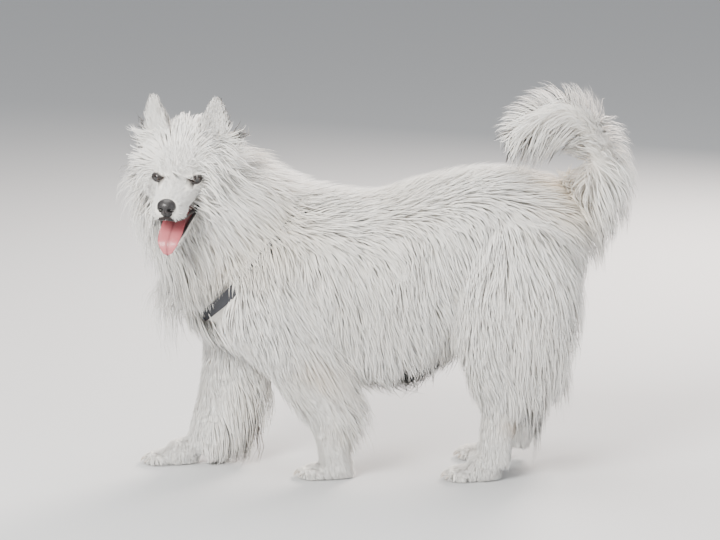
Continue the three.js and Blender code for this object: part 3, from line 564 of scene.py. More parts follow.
bodySkin = makeBodySkin()
headSkin = makeHeadSkin()
setCoords(headSkin, metres(openEyes(sculptor(coordsOf(headSkin)))))
print("skins made", len(bodySkin.polygons), len(headSkin.polygons))


def distanceToLine(points, line):
    fine = smoothLine(line, 40)
    best = np.full(len(points), 1e9)
    for p in fine:
        best = np.minimum(best, np.linalg.norm(points - p, axis=1))
    return best


def headColours(points):
    colour = tintAt(points)
    local = inHead(points)

    def blend(mask, tone):
        nonlocal colour
        mask = np.clip(mask, 0, 1)[:, None]
        colour = colour * (1 - mask) + np.array(tone) * mask

    for side in (1, -1):
        facing = earFrame(side)
        middle = onHead(-12, side * 57, 80)
        inEar = (local[:, 2] > 48) & (side * local[:, 1] > 30) & ((points - middle) @ facing > -3)
        blend(0.55 * inEar, (0.86, 0.66, 0.58))
        look, across, up = eyeAxes(side)
        way = unit(points - eyeMiddle(side))
        close = (np.linalg.norm(points - eyeMiddle(side), axis=1) < 17) & (way @ look > 0)
        e = almond(way @ across * 12, way @ up * 12)
        blend(close * np.clip((1.55 - e) / 0.3, 0, 1), (0.035, 0.025, 0.022))
        for name, reach in (("lip", 4.4), ("jawLip", 4.2)):
            line = [onHead(f, side * l, u) for f, l, u in faceSettings[name]]
            blend(np.clip((reach + 1.2 - distanceToLine(points, line)) / 1.6, 0, 1), (0.03, 0.024, 0.024))
    mouth = (local[:, 0] > 15) & (np.abs(local[:, 1]) < 36) & (local[:, 2] < -52)
    jawTop = -46 - (local[:, 0] - 12) * 0.55 + 9
    inside = mouth & (local[:, 2] > jawTop - 6) & (local[:, 2] < -54) & (np.abs(local[:, 1]) < 30)
    # the inside of the mouth painted a dark red: its flesh with painted shade
    blend(0.9 * inside, (0.2, 0.07, 0.075))
    return colour


def joinedSkin():
    body, head = bodySkin, headSkin
    paint(body, tintAt(sculptor(coordsOf(body))) * 0.97)
    paint(head, headColours(sculptor(coordsOf(head))))
    mesh = bmesh.new()
    mesh.from_mesh(body)
    mesh.from_mesh(head)
    whole = bpy.data.meshes.new("skin")
    mesh.to_mesh(whole)
    mesh.free()
    return whole


skinData = joinedSkin()
keptApart = ("eye_", "nose", "tongue", "neck_strap")
fleshNodes = [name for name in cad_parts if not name.startswith(keptApart)]
skin = shown(skinData, "skin", fleshNodes, materials["skin"])


def unwrap(thing):
    bpy.context.view_layer.objects.active = thing
    for other in bpy.context.selected_objects:
        other.select_set(False)
    thing.select_set(True)
    bpy.ops.object.mode_set(mode="EDIT")
    bpy.ops.mesh.select_all(action="SELECT")
    bpy.ops.uv.smart_project(angle_limit=math.radians(66), island_margin=0.0005)
    bpy.ops.object.mode_set(mode="OBJECT")
    thing.data.uv_layers[0].name = "OFBake"


unwrap(skin)
print("skin joined and unwrapped", len(skinData.polygons))


# The eyes: a ball with a bulge in front, a dark brown iris and a black pupil, inside a dark rim.
eyeSettings = {"bulge": 0.9, "iris": 40, "pupil": 19, "rim": 2.0, "rimOut": 0.9}


def makeEye(side, name):
    look, across, up = eyeAxes(side)
    radius = headSettings["eyeRadius"] - 0.15
    angles = np.radians(np.concatenate([np.linspace(2, 60, 30), np.linspace(64, 174, 24)]))
    turns = np.linspace(0, 2 * np.pi, 48, endpoint=False)
    clear = np.clip(np.cos(angles * 90 / eyeSettings["iris"] / 1.15), 0, 1) * (angles < 0.8)
    far = radius + eyeSettings["bulge"] * clear
    circle = np.outer(np.cos(turns), across) + np.outer(np.sin(turns), up)
    rings = [eyeMiddle(side) + far[i] * (math.cos(a) * look + math.sin(a) * circle)
             for i, a in enumerate(angles)]
    ball = Shape()
    front = eyeMiddle(side) + look * (radius + eyeSettings["bulge"])
    ball.add(*skinOver(rings, front, eyeMiddle(side) - look * radius))
    data = ball.mesh(name)
    places = sculptor(coordsOf(data)) - eyeMiddle(side)
    angle = np.degrees(np.arccos(np.clip(unit(places) @ look, -1, 1)))
    spin = np.arctan2(places @ up, places @ across)
    streak = 1 + 0.25 * np.sin(spin * 23) * np.sin(spin * 11 + 2)
    colour = np.tile((0.04, 0.025, 0.02), (len(places), 1))
    iris = angle < eyeSettings["iris"]
    ring = np.clip((eyeSettings["iris"] - angle) / 9, 0.25, 1)
    colour[iris] = (np.array((0.022, 0.009, 0.005)) * (streak * ring)[:, None])[iris]
    colour[angle < eyeSettings["pupil"]] = (0.003, 0.003, 0.003)
    paint(data, colour)
    return shown(data, name, [name], materials["eye"])


def makeRim(side, name):
    look, across, up = eyeAxes(side)
    radius = headSettings["eyeRadius"]
    turns = np.linspace(0, 2 * np.pi, 72, endpoint=False)
    power = 2 / lidSettings["point"]
    x = lidSettings["halfWide"] * 1.03 * np.sign(np.cos(turns)) * np.abs(np.cos(turns)) ** power
    tall = np.where(np.sin(turns) > 0, lidSettings["top"], lidSettings["low"]) * 1.04
    y = tall * np.sign(np.sin(turns)) * np.abs(np.sin(turns)) ** power
    ahead = np.sqrt(np.maximum(radius ** 2 - x ** 2 - y ** 2, 9))
    way = unit(np.outer(ahead, look) + np.outer(x, across) + np.outer(y, up))
    line = eyeMiddle(side) + way * (radius + eyeSettings["rimOut"])
    along = unit(np.roll(line, -1, axis=0) - np.roll(line, 1, axis=0))
    sideways = unit(np.cross(along, way))
    around = np.linspace(0, 2 * np.pi, 10, endpoint=False)
    points, faces = [], []
    for i in range(72):
        section = np.outer(np.cos(around), sideways[i]) + 0.75 * np.outer(np.sin(around), way[i])
        points.append(line[i] + eyeSettings["rim"] * section)
        for k in range(10):
            a, b, m = i * 10, ((i + 1) % 72) * 10, (k + 1) % 10
            faces.append((a + k, b + k, b + m, a + m))
    rim = Shape()
    rim.add(np.concatenate(points), faces)
    return shown(rim.mesh(name), name, (), materials["lips"])


for side, name in ((1, "left"), (-1, "right")):
    makeEye(side, "eye_" + name)
    makeRim(side, "lidRim_" + name)
print("eyes made")


# The nose: a leathery pad with two comma-shaped nostrils and a groove down its middle.
noseSettings = {
    "pads": [((148, 0, -24), (16, 19, 14.5)), ((146, 0, -36), (12, 13, 12)),
             ((152, 8, -26), (11, 10, 10)), ((152, -8, -26), (11, 10, 10))],
    "nostrils": [((163, 8.2, -27.5), (9, 4.2, 4.4)), ((158, 13.5, -30.5), (12, 5.5, 2.3))],
    "groove": 1.5,
}


def makeNose():
    pad = Shape()
    for (f, l, u), half in noseSettings["pads"]:
        addBall(pad, onHead(f, l, u), half, headFrame, 40, 28)
    data = remeshed(pad.mesh("nosePad"), "nose", 0.65, 5)
    local = inHead(sculptor(coordsOf(data)))
    for (f, l, u), half in noseSettings["nostrils"]:
        for side in (1, -1):
            q = (local - (f, side * l, u)) / half
            flat = 1 - q[:, 1] ** 2 - q[:, 2] ** 2
            back = f - half[0] * np.sqrt(np.maximum(flat, 0))
            cut = (flat > 0) & (local[:, 0] > back) & (local[:, 0] > 140)
            local[cut, 0] = back[cut]
    front = np.clip((local[:, 0] - 146) / 6, 0, 1) * np.clip((-27 - local[:, 2]) / 4, 0, 1)
    local[:, 0] -= noseSettings["groove"] * front * np.exp(-(local[:, 1] / 1.3) ** 2)
    setCoords(data, metres(headAt + local @ headFrame))
    return shown(data, "nose", ["nose"], materials["nose"])


makeNose()

# The tongue: a long flat leaf over the lower lip, hollowed along its middle, redder at its edges.
tongueSettings = {
    "line": [(60, -65, 18), (95, -80, 21), (124, -91, 23), (143, -99, 23.5), (152, -110, 21),
             (155, -121, 13)],
    "thick": 3.8, "groove": 1.7, "edge": 1.6,
}


def makeTongue():
    rows = tongueSettings["line"]
    line = smoothLine([(f, 0, u) for f, u, _ in rows], 40)
    wide = np.interp(np.linspace(0, 1, 40), np.linspace(0, 1, len(rows)), [r[2] for r in rows])
    wide *= np.sqrt(np.clip(1 - np.maximum(np.linspace(0, 1, 40) - 0.82, 0) ** 2 / 0.05, 0.2, 1))
    turns = np.linspace(0, 2 * np.pi, 48, endpoint=False)
    ahead = unit(np.gradient(line, axis=0))
    rings = []
    for i in range(40):
        up = unit(np.cross(ahead[i], (0, 1, 0)))
        up = up if up[2] > 0 or up[0] > 0 else -up
        x, y = np.cos(turns), np.sin(turns)
        lift = tongueSettings["thick"] * y * np.sqrt(np.clip(wide[i] / 24, 0.3, 1))
        lift = lift - tongueSettings["groove"] * np.exp(-(x / 0.16) ** 2) * (y > 0)
        lift = lift + tongueSettings["edge"] * x ** 4
        rings.append(line[i] + np.outer(x * wide[i], (0, 1, 0)) + np.outer(lift, up))
    leaf = Shape()
    points, faces = skinOver(rings, line[0], line[-1] + ahead[-1] * 4)
    leaf.add(headAt + points @ headFrame, faces)
    data = leaf.mesh("tongue")
    local = inHead(sculptor(coordsOf(data)))
    share = np.clip(np.abs(local[:, 1]) / np.interp(local[:, 0], [60, 95, 124, 156], [20, 25, 28, 22]), 0, 1)
    edge = share[:, None] ** 3
    colour = np.array((0.56, 0.16, 0.18)) * (1 - edge) + np.array((0.46, 0.08, 0.1)) * edge
    # painted shade: the tongue darker along its middle, in the groove
    colour *= 1 - 0.4 * np.exp(-(local[:, 1:2] / 2.2) ** 2)
    # painted shade: the tongue darker towards its back, inside the mouth
    colour *= np.clip(0.5 + (local[:, 0:1] - 70) / 90, 0.35, 1)
    paint(data, colour)
    return shown(data, "tongue", ["tongue"], materials["tongue"])


makeTongue()


def makeLips():  # the dark edges of the mouth, from the nose and the chin back to the corners
    lips = Shape()
    for side in (1, -1):
        upper = [onHead(f, side * (l + 1.5), u - 2.2) for f, l, u in faceSettings["lip"]]
        lower = [onHead(f, side * (l + 1.8), u + 1.2) for f, l, u in faceSettings["jawLip"]]
        addRod(lips, upper, 2.3, 40, 10, taper=((0, 0.2, 0.8, 1), (0.8, 1, 1.2, 0.6)), flat=0.9)
        addRod(lips, lower, 2.7, 40, 10, taper=((0, 0.2, 0.8, 1), (0.8, 1, 1.2, 0.6)), flat=0.9)
    return shown(lips.mesh("lips"), "lips", (), materials["lips"])


makeLips()


def makeClaws():
    claws = Shape()
    for x, y in feet.values():
        for toeX, toeY, toeZ, _ in toes:
            tip = np.array((x + toeX - 17, y + toeY, floorAt + toeZ + 1.5))
            line = [tip + (2, 0, 1), tip + (-4, 0, 0.5), tip + (-9, 0, -3.5), tip + (-12, 0, -7.5)]
            addRod(claws, line, 2.3, 10, 8, taper=((0, 0.4, 1), (1, 0.85, 0.2)))
    return shown(claws.mesh("claws"), "claws", (), materials["claw"])


makeClaws()
print("nose, tongue and claws made")

# The strap: flat webbing pulled tight round the base of the neck, over the body and under the long coat.
strapSettings = {"middle": (-220, 0, 422), "rise": (0.67, 0, 0.742), "wide": 22, "thick": 2.4,
                 "off": 1.0, "core": 0.36,
                 "shows": ((-327, -80, 311), (-245, -130, 395))}
strapRise = unit(strapSettings["rise"])
strapFlat = np.cross(strapRise, (0, 1, 0))


def strapLoop():
    near = []
    for name, final in (("torso", 8), ("neck", 2.2), ("foreLeft", 2.6), ("foreRight", 2.6)):
        for t in np.arange(0, final, 0.05):
            ring, _ = ringAt(forms[name], t, strapSettings["core"], 60)
            fromMiddle = ring - strapSettings["middle"]
            for point in fromMiddle[np.abs(fromMiddle @ strapFlat) < 12]:
                near.append((point[1], point @ strapRise))
    near.sort()

    def half(points):
        chain = []
        for p in points:
            while len(chain) > 1:
                (ax, ay), (bx, by) = chain[-2], chain[-1]
                if (bx - ax) * (p[1] - ay) - (by - ay) * (p[0] - ax) > 0:
                    break
                chain.pop()
            chain.append(p)
        return chain[:-1]

    hull = np.array(half(near) + half(near[::-1]))
    closed = np.concatenate([hull, hull[:1]])
    far = np.concatenate([[0], np.cumsum(np.linalg.norm(np.diff(closed, axis=0), axis=1))])
    wanted = np.linspace(0, far[-1], 180, endpoint=False)
    loop = np.stack([np.interp(wanted, far, closed[:, n]) for n in (0, 1)], 1)
    for _ in range(6):
        loop = 0.25 * np.roll(loop, 1, axis=0) + 0.5 * loop + 0.25 * np.roll(loop, -1, axis=0)
    return loop


def makeStrap():
    loop = strapLoop()
    along = unit(np.roll(loop, -1, axis=0) - np.roll(loop, 1, axis=0))
    out = np.stack([along[:, 1], -along[:, 0]], 1)
    w, a, b = strapSettings["wide"] / 2, strapSettings["off"], strapSettings["off"] + strapSettings["thick"]
    section = [(a, -w + 0.7), (a, w - 0.7), (a + 0.6, w), (b - 0.6, w), (b, w - 1.2), (b, w - 3.5),
               (b - 0.35, w - 4), (b - 0.35, -w + 4), (b, -w + 3.5), (b, -w + 1.2), (b - 0.6, -w), (a + 0.6, -w)]
    points, faces = [], []
    count = len(section)
    for i, (y, rise) in enumerate(loop):
        for depth, across in section:
            points.append(np.array(strapSettings["middle"]) + np.array((0, y + out[i, 0] * depth, 0))
                          + strapRise * (rise + out[i, 1] * depth) + strapFlat * across)
        for k in range(count):
            m, n = (k + 1) % count, ((i + 1) % len(loop)) * count
            faces.append((i * count + k, n + k, n + m, i * count + m))
    band = Shape()
    band.add(np.array(points), faces)
    return shown(band.mesh("neckStrap"), "neckStrap", ["neck_strap"], materials["strap"])


makeStrap()
print("strap made")


# The coat: thin closed tufts over the skin. Fields at the skin's points say how deep it is and where it lies.
coatSettings = {
    "amount": 1.0, "perPiece": 190000, "patch": 0.003,
    "fuller": {"tail": 1.28, "hindLeft": 1.12, "hindRight": 1.12, "head": 1.5},
    # tufts a square centimetre, by the coat's reach in millimetres
    "density": ((0, 3, 7, 14, 24, 40, 60), (26, 26, 19, 9.5, 5.2, 3.7, 3.7)),
    "lift": {"torso": 27, "neck": 34, "tail": 60, "legs": 21, "head": 30}, "liftSpread": 5,
    "turnSpread": 8, "swirl": 13, "swirlSize": 75,
    "hang": {"tail": 0.4, "neck": 0.1, "torso": 0.06, "legs": 0.05, "head": 0.05},
    # the tufts' painted shade at the root and painted light at the tip
    "clump": 11, "pull": 0.38, "rootPaintedShade": 0.88, "tipPaintedLight": 1.03,
}

legFlows = {"foreLeft": (0.45, 0, -1), "foreRight": (0.5, 0, -1), "hindLeft": (0.4, 0, -1),
            "hindRight": (0.4, 0, -1)}


def lieOf(name, t, station, out):  # the way the hair grows at a place on a form
    if name == "torso":
        top = np.clip((out[:, 2:3] - 0.35) / 0.5, 0, 1)
        flow = np.array((0.3, 0, -1)) * (1 - top) + np.array((1, 0, 0)) * top
        return flow + np.array((0, 0, -0.8)) * np.clip(-out[:, 0:1], 0, 1) * (t < 1.5)
    if name == "neck":
        flow = np.array((0.72, 0, -0.75)) + np.outer(np.sign(out[:, 1]), (0, 0.15, 0))
        return flow - np.array((0.72, 0, 0)) * np.clip(-out[:, 0:1] - 0.2, 0, 1)
    if name == "tail":
        low = np.clip((3.2 - t) / 1.4, 0, 1)
        over = station["along"] * 0.9 + out * 0.9
        hang = np.array((0.62, 0, -1)) + out * 0.35
        outer = np.clip(out[:, 0:1] * 1.6, 0, 1) * np.clip((4.6 - t) / 1.6, 0, 1)
        flow = over * (1 - low) + hang * low
        return flow * (1 - outer) + outer * (out * 0.9 + np.array((0.35, 0, -0.9)))
    if name in feet:
        return np.tile(np.array(legFlows[name]) + station["along"] * 0.6, (len(out), 1))
    return np.zeros((len(out), 3))


def formSamples():
    places, reaches, ways, lifts, hangs, names = [], [], [], [], [], []
    for name, form in forms.items():
        last = len(form["rings"]) - 1
        for t in np.arange(0, last + 0.01, 0.125):
            inner, station = ringAt(form, t, form["skin"], 28)
            outer, _ = ringAt(form, t, 1.0, 28)
            out = unit(outer - inner)
            places.append(inner)
            more = coatSettings["fuller"].get(name, 1.0)
            reaches.append(np.linalg.norm(outer - inner, axis=1) * more)
            ways.append(lieOf(name, t, station, out))
            kind = "legs" if name in feet else "head" if name == "jaw" else name
            lifts += [coatSettings["lift"][kind]] * len(inner)
            hangs += [coatSettings["hang"][kind]] * len(inner)
            names += [name] * len(inner)
    joined = [np.concatenate(part) for part in (places, reaches, ways)]
    return (*joined, np.stack([lifts, hangs], 1), np.array(names))


def triangleArrays(data):
    data.calc_loop_triangles()
    count = len(data.loop_triangles)
    corners, loops = np.empty(count * 3, np.int32), np.empty(count * 3, np.int32)
    data.loop_triangles.foreach_get("vertices", corners)
    data.loop_triangles.foreach_get("loops", loops)
    return corners.reshape(-1, 3), loops.reshape(-1, 3)


headLie = {  # the head's own coat: cheeks stand out, the muzzle and brow lie flat
    "muzzleFrom": 62, "earReach": 8, "earFrom": 60,
}


def headFields(local, reach):
    f, l, u = local.T
    side = np.sign(l)
    wide = np.clip((np.abs(l) - 22) / 30, 0, 1)
    high = np.clip((u - 12) / 22, 0, 1)
    low = np.clip((-30 - u) / 25, 0, 1)
    rise = 0.3 * high - 0.75 * low - 0.35 * wide * (1 - high)
    way = np.stack([-0.9 + 0.2 * wide, side * (0.12 + 0.75 * wide), rise], 1)
    ear = (u > headLie["earFrom"]) & (np.abs(l) > 26)
    way[ear] = np.stack([-0.12 * np.ones(ear.sum()), side[ear] * 0.22, np.ones(ear.sum())], 1)
    reach = np.where(ear, headLie["earReach"] * np.clip((150 - u) / 60, 0.45, 1), reach)
    muzzle = f > headLie["muzzleFrom"]
    reach = np.where(muzzle, np.minimum(reach, 3.2 + 0.03 * np.maximum(0, 110 - f)), reach)
    brow = (f > 30) & (u > -20) & (np.abs(l) < 42)
    reach = np.where(brow, np.minimum(reach, 3.4 + 0.14 * np.maximum(0, 62 - f)), reach)
    crown = (u > 26) & (f > -45) & ~ear
    reach = np.where(crown, np.minimum(reach, 17 + 0.25 * np.maximum(0, -f)), reach)
    lift = np.interp(reach, (3, 8, 20, 40), (22, 22, 30, 38))
    return reach, way @ headFrame, lift


def bareAt(points, local, isHead):  # lips, mouth, lids, nose and soles carry no tufts
    bare = np.zeros(len(points), bool)
    for side in (1, -1):
        look, across, up = eyeAxes(side)
        fromEye = points - eyeMiddle(side)
        far = np.linalg.norm(fromEye, axis=1)
        way = unit(fromEye)
        bare |= isHead & (far < 18) & (way @ look > 0) & (almond(way @ across * 12, way @ up * 12) < 1.5)
        for name in ("lip", "jawLip"):
            line = [onHead(f, side * l, u) for f, l, u in faceSettings[name]]
            bare |= isHead & (distanceToLine(points, line) < 5.2) & (local[:, 0] > 50)
    f, l, u = local.T
    jawTop = -46 - (f - 12) * 0.55 + 9
    bare |= isHead & (f > 15) & (np.abs(l) < 30) & (u < -56) & (u > jawTop - 8)
    bare |= isHead & (np.linalg.norm((local - (150, 0, -28)) / (17, 21, 17), axis=1) < 1)
    bare |= points[:, 2] < floorAt + 3
    return bare


def skinFields():
    data = skin.data
    points = sculptor(coordsOf(data))
    places, reaches, ways, lifts, names = formSamples()
    isHead = np.arange(len(points)) >= len(bodySkin.vertices)
    headSample = (names == "head") | (names == "jaw")
    reach, flow, lift = np.zeros(len(points)), np.zeros((len(points), 3)), np.zeros((len(points), 2))
    for wanted, samples in ((isHead, headSample), (~isHead, ~headSample)):
        chosen = np.nonzero(samples)[0]
        tree = kdtree.KDTree(len(chosen))
        for i in chosen:
            tree.insert(places[i], int(i))
        tree.balance()
        for i in np.nonzero(wanted)[0]:
            found = tree.find_n(points[i], 5)
            weight = np.array([1 / (3 + hit[2]) ** 2 for hit in found])
            index = [hit[1] for hit in found]
            reach[i] = weight @ reaches[index] / weight.sum()
            flow[i] = weight @ ways[index]
            lift[i] = weight @ lifts[index] / weight.sum()
    local = inHead(points)
    headReach, headFlow, headLift = headFields(local, reach)
    reach, flow = np.where(isHead, headReach, reach), np.where(isHead[:, None], headFlow, flow)
    lift[isHead, 0] = headLift[isHead]
    paw = points[:, 2] < floorAt + 45
    reach = np.where(paw, np.minimum(reach, 5.5), reach)
    bare = bareAt(points, local, isHead)
    return points, reach, unit(flow), lift, bare, isHead


points, reachAt, flowAt, liftAt, bareSkin, isHead = skinFields()
print("coat fields made")

corners, loops = triangleArrays(skin.data)
skinUv = np.empty(len(skin.data.loops) * 2, np.float32)
skin.data.uv_layers["OFBake"].data.foreach_get("uv", skinUv)
skinUv = skinUv.reshape(-1, 2)
surface = BVHTree.FromPolygons(points.tolist(), corners.tolist())


def chooseRoots():
    a, b, c = (points[corners[:, n]] for n in range(3))
    normal = np.cross(b - a, c - a)
    area = np.linalg.norm(normal, axis=1) / 2
    reach = reachAt[corners].mean(1)
    dense = np.interp(reach, *coatSettings["density"]) / 100
    dense[bareSkin[corners].any(1)] = 0
    inside = isHead[corners[:, 0]] & (inHead(a)[:, 0] < -62)  # the head's back end lies in the neck's coat
    dense[inside] = 0
    want = area * dense * coatSettings["amount"]
    total = int(want.sum())
    chosen = np.searchsorted(np.cumsum(want), (np.arange(total) + rng.random(total)) * want.sum() / total)
    chosen = np.clip(chosen, 0, len(want) - 1)
    u, v = rng.random(total), rng.random(total)
    over = u + v > 1
    u[over], v[over] = 1 - u[over], 1 - v[over]
    share = np.stack([1 - u - v, u, v], 1)

    def mix(values):
        return np.einsum("ni,ni...->n...", share, values)

    place = mix(points[corners[chosen]])
    return {"place": place, "normal": unit(normal[chosen]), "reach": mix(reachAt[corners[chosen]]),
            "flow": unit(mix(flowAt[corners[chosen]])), "lift": mix(liftAt[corners[chosen]])[:, 0],
            "hang": mix(liftAt[corners[chosen]])[:, 1], "uv": mix(skinUv[loops[chosen]])}


def turnedAll(v, axis, angle):
    cos, sin = np.cos(angle)[:, None], np.sin(angle)[:, None]
    dot = np.einsum("ni,ni->n", v, axis)[:, None]
    return v * cos + np.cross(axis, v) * sin + axis * dot * (1 - cos)


room = np.array(cadBox[1]) * 1000 - np.array(cadBox[0]) * 1000
roomLow = np.array(cadBox[0]) * 1000 - shift - 0.027 * room - 8
roomHigh = np.array(cadBox[1]) * 1000 - shift + 0.027 * room + 8
roomLow[2] = floorAt + 1.5


def growPaths(roots, rings):
    count = len(roots["place"])
    size = coatSettings["swirlSize"]
    swirl = np.array([noise.noise(p / size) for p in map(Vector, roots["place"].tolist())])
    spread = coatSettings["turnSpread"] * rng.standard_normal(count)
    turn = np.radians(coatSettings["swirl"] * 2 * swirl + spread)
    flow = turnedAll(roots["flow"], roots["normal"], turn)
    lift = np.radians(roots["lift"] + coatSettings["liftSpread"] * rng.standard_normal(count))
    full = np.clip(rng.normal(0.92, 0.14, count), 0.6, 1.18)
    height = roots["reach"] * full
    length = height / np.sin(np.clip(lift, 0.3, 1.0)) + 3
    path = np.empty((count, rings + 1, 3))
    path[:, 0] = roots["place"] - roots["normal"] * 1.0
    here, normal = roots["place"].copy(), roots["normal"].copy()
    step = length / rings
    for k in range(1, rings + 1):
        s = k / rings
        wanted = height * (1 - (1 - s) ** 1.45)
        rise = (wanted - height * (1 - (1 - s + 1 / rings) ** 1.45)) / step
        rise = np.clip(rise, 0, 0.85)[:, None]
        tangent = unit(flow - normal * np.einsum("ni,ni->n", flow, normal)[:, None])
        here = here + step[:, None] * (tangent * np.sqrt(1 - rise ** 2) + normal * rise)
        for i in range(count):
            spot, face, _, _ = surface.find_nearest(here[i])
            face = np.array(face)
            gap = (here[i] - np.array(spot)) @ face
            normal[i] = face if gap < 0 else unit(face + 1.5 * normal[i])
            here[i] += face * max(0.0, 0.8 * wanted[i] - gap)
        here = np.clip(here, roomLow, roomHigh)
        path[:, k] = here
    # hair on top stands, hair below hangs
    weight = roots["hang"] * np.clip(0.6 - roots["normal"][:, 2], 0, 1.4)
    hang = (weight * length)[:, None] * np.linspace(0, 1, rings + 1) ** 2
    path[..., 2] = np.maximum(path[..., 2] - hang, floorAt + 1.5)
    return path


def clumped(roots, path):
    count = len(path)
    every = coatSettings["clump"]
    centres = np.sort(rng.choice(count, max(1, count // every), replace=False))
    tree = kdtree.KDTree(len(centres))
    for i in centres:
        tree.insert(roots["place"][i], int(i))
    tree.balance()
    owner = np.array([tree.find(p)[1] for p in roots["place"].tolist()])
    share = (np.linspace(0, 1, path.shape[1]) ** 1.6)[None, :, None]
    pull = (coatSettings["pull"] * rng.uniform(0.5, 1.3, count))[:, None, None]
    near = np.linalg.norm(roots["place"] - roots["place"][owner], axis=1) < 2 + 1.2 * roots["reach"]
    return path + (path[owner] - path) * share * pull * near[:, None, None]


def clearStrap(path):  # hair over the strap's open stretch stops short of it
    low, high = (np.array(p, float) for p in strapSettings["shows"])
    line = high - low
    outward = unit(np.array((-0.5, -0.86, 0.1)))
    k = np.clip((path - low) @ line / (line @ line), 0, 1)
    off = path - (low + k[..., None] * line)
    off -= (off @ outward)[..., None] * outward
    over = (np.linalg.norm(off, axis=2) < 11) & (path[..., 1] < -40)
    over &= np.abs(path @ outward - low @ outward) < 90
    hit = over.any(1)
    first = np.where(hit, over.argmax(1), path.shape[1])
    keep = np.clip(first / (path.shape[1] - 1) * 0.92, 0, 1)
    shorter = path.copy()
    s = np.arange(path.shape[1])
    for i in np.nonzero(hit)[0]:
        for n in range(3):
            shorter[i, :, n] = np.interp(s * keep[i], s, path[i, :, n])
    return shorter, ~hit | (keep > 0.3)


def clearFace(path):  # no hair over the eyes, the open mouth or the tongue
    kept = np.ones(len(path), bool)
    path = np.concatenate([path[:, :-1] * (1 - k) + path[:, 1:] * k for k in np.linspace(0, 1, 5)], 1)
    for side in (1, -1):
        look, _, up = eyeAxes(side)
        fromEye = path - eyeMiddle(side)
        for ahead in (look, unit(look + headFrame[0]), headFrame[0]):
            x = fromEye @ unit(np.cross(up, ahead))
            y, far = fromEye @ up, fromEye @ ahead
            kept &= ~((far > 2) & (far < 70) & ((x / 14.5) ** 2 + (y / 10) ** 2 < 1)).any(1)
    f, l, u = np.moveaxis(inHead(path), 2, 0)
    kept &= ~((f > 62) & (np.abs(l) < 27) & (u < -58) & (u > -128) & (u > -64 - (f - 55) * 0.62 + 4)).any(1)
    return kept


def addTufts(name, roots, path, wide, flat):
    rings = path.shape[1] - 1
    count = len(path)
    ahead = unit(np.gradient(path, axis=1))
    across = unit(np.cross(ahead, roots["normal"][:, None, :]))
    up = np.cross(across, ahead)
    profile = np.interp(np.linspace(0, 1, rings + 1), (0, 0.25, 0.6, 1), (0.75, 1, 0.75, 0.05))
    half = (wide[:, None] * profile)[..., None] / 2
    lift = half * 2 * flat
    ring = np.stack([path - across * half, path + across * half, path + up * lift], 2)[:, :rings]
    verts = np.concatenate([ring.reshape(count, -1, 3), path[:, rings:]], 1)
    per = verts.shape[1]
    faces = [(0, 1, 2)]
    for k in range(rings):
        for j in range(3):
            a, b = k * 3 + j, k * 3 + (j + 1) % 3
            if k == rings - 1:
                faces.append((b, a, per - 1))
            else:
                faces += [(b, a, a + 3), (b, a + 3, b + 3)]
    faces = np.array(faces)
    s = np.concatenate([np.repeat(np.arange(rings) / rings, 3), [1]])
    # painted shade: each tuft darker at its root, where the tufts shade one another, and a little brighter at
    # its tip as painted light
    paintedShade = np.interp(s, (0, 0.35, 1), (coatSettings["rootPaintedShade"], 0.96, coatSettings["tipPaintedLight"]))
    colour = tintAt(roots["place"]) * rng.normal(1, 0.035, (count, 1))
    colour = np.clip(colour[:, None, :] * paintedShade[None, :, None], 0, 1)
    spot = np.stack([s - 0.5, np.concatenate([np.tile((-0.5, 0.5, 0), rings), [0]])], 1) * coatSettings["patch"]
    uv = roots["uv"][:, None, :] + spot[None]
    most = coatSettings["perPiece"] // len(faces)
    pieces = math.ceil(count / most)
    for piece in range(pieces):
        part = slice(piece * count // pieces, (piece + 1) * count // pieces)
        amount = part.stop - part.start
        data = bpy.data.meshes.new(name)
        data.vertices.add(amount * per)
        data.vertices.foreach_set("co", metres(verts[part]).astype(np.float32).ravel())
        index = (faces[None] + (np.arange(amount) * per)[:, None, None]).astype(np.int32).ravel()
        data.loops.add(len(index))
        data.loops.foreach_set("vertex_index", index)
        data.polygons.add(len(index) // 3)
        data.polygons.foreach_set("loop_start", np.arange(0, len(index), 3, dtype=np.int32))
        layer = data.uv_layers.new(name="OFBake")
        layer.data.foreach_set("uv", uv[part].reshape(-1, 2)[index].astype(np.float32).ravel())
        paint(data, colour[part].reshape(-1, 3))
        data.update(calc_edges=True)
        shown(data, name + "_" + str(piece + 1), (), materials["coat"])
        lean = np.repeat(roots["normal"][part] * 0.6 + unit(up[part].mean(1)) * 0.4, per, axis=0)
        lean[:, 2] = np.maximum(lean[:, 2], -0.15)
        data.normals_split_custom_set_from_vertices(unit(lean).tolist())
    return count * len(faces)


# Each kind: the reach it covers from and to, its rings and its width in millimetres.
tuftKinds = {"coatFine": (-1, 7, 2, 1.5), "coatShort": (7, 16, 3, 2.1), "coatLong": (16, 999, 4, 2.5)}


def makeCoat():
    roots = chooseRoots()
    reach = roots["reach"]
    total = 0
    for name, (low, high, rings, wide) in tuftKinds.items():
        chosen = (reach >= low) & (reach < high)
        part = {key: values[chosen] for key, values in roots.items()}
        path = clumped(part, growPaths(part, rings))
        path, kept = clearStrap(path)
        kept &= clearFace(path)
        part = {key: values[kept] for key, values in part.items()}
        path = path[kept]
        thick = wide * rng.uniform(0.7, 1.3, len(path)) / math.sqrt(coatSettings["amount"])
        total += addTufts(name, part, path, thick, 0.28)
        print(name, len(path), "tufts")
    print("coat made,", total, "triangles")


makeCoat()


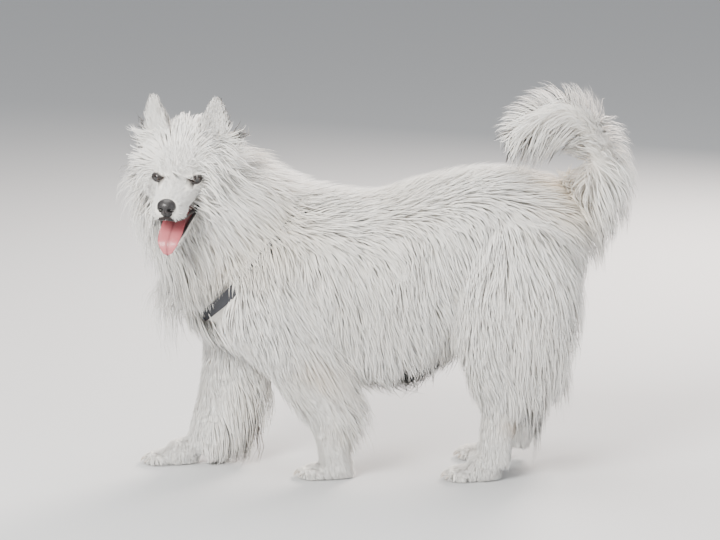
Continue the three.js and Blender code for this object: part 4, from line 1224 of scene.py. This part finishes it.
# A plain pale floor, soft studio lights and the camera at the photograph's angle.
def makeFloor():
    points = [(-20, -20, 0), (20, -20, 0), (20, 20, 0), (-20, 20, 0)]
    data = bpy.data.meshes.new("floor")
    data.from_pydata(points, [], [(0, 1, 2, 3)])
    floor = bpy.data.objects.new("floor", data)
    scene.collection.objects.link(floor)
    data.materials.append(makeMaterial("floor", (0.62, 0.63, 0.64), 0.9, grain=(40, 0.05, 0.0002)))


lightSettings = {  # place, aim, size and power, colour
    "key": ((-2.2, -3.2, 3.0), (0, 0, 0.4), 2.2, 390, (1.0, 0.975, 0.93)),
    "fill": ((3.4, -2.6, 1.6), (0, 0, 0.4), 3.0, 60, (0.97, 0.98, 1.0)),
    "back": ((1.6, 3.0, 2.4), (0, 0, 0.5), 1.6, 300, (1.0, 0.88, 0.8)),
    "top": ((-0.4, 0.6, 3.4), (0, 0, 0.4), 2.4, 90, (1.0, 0.97, 0.93)),
}


def makeLights():
    for name, (place, aim, size, power, colour) in lightSettings.items():
        lamp = bpy.data.lights.new(name, "AREA")
        lamp.shape, lamp.size, lamp.energy, lamp.color = "DISK", size, power, colour
        thing = bpy.data.objects.new(name, lamp)
        thing.location = place
        thing.rotation_euler = (Vector(aim) - Vector(place)).to_track_quat("-Z", "Y").to_euler()
        scene.collection.objects.link(thing)
    world = bpy.data.worlds.new("world")
    world.use_nodes = True
    sky = world.node_tree.nodes["Background"]
    sky.inputs["Color"].default_value = (0.92, 0.93, 0.95, 1)
    sky.inputs["Strength"].default_value = 0.6
    scene.world = world


cameraSettings = {"aim": (0, 0, 401), "far": 5.0, "tilt": 11, "lens": 122.5, "sensor": 36}


def makeCamera():
    aim = Vector(metres(np.array([cameraSettings["aim"]]))[0])
    tilt = math.radians(cameraSettings["tilt"])
    data = bpy.data.cameras.new("camera")
    data.lens, data.sensor_width, data.clip_end = cameraSettings["lens"], cameraSettings["sensor"], 60
    camera = bpy.data.objects.new("camera", data)
    camera.location = aim + cameraSettings["far"] * Vector((0, -math.cos(tilt), math.sin(tilt)))
    camera.rotation_euler = (aim - camera.location).to_track_quat("-Z", "Y").to_euler()
    scene.collection.objects.link(camera)
    scene.camera = camera


makeFloor()
makeLights()
makeCamera()
print("floor, lights and camera placed")
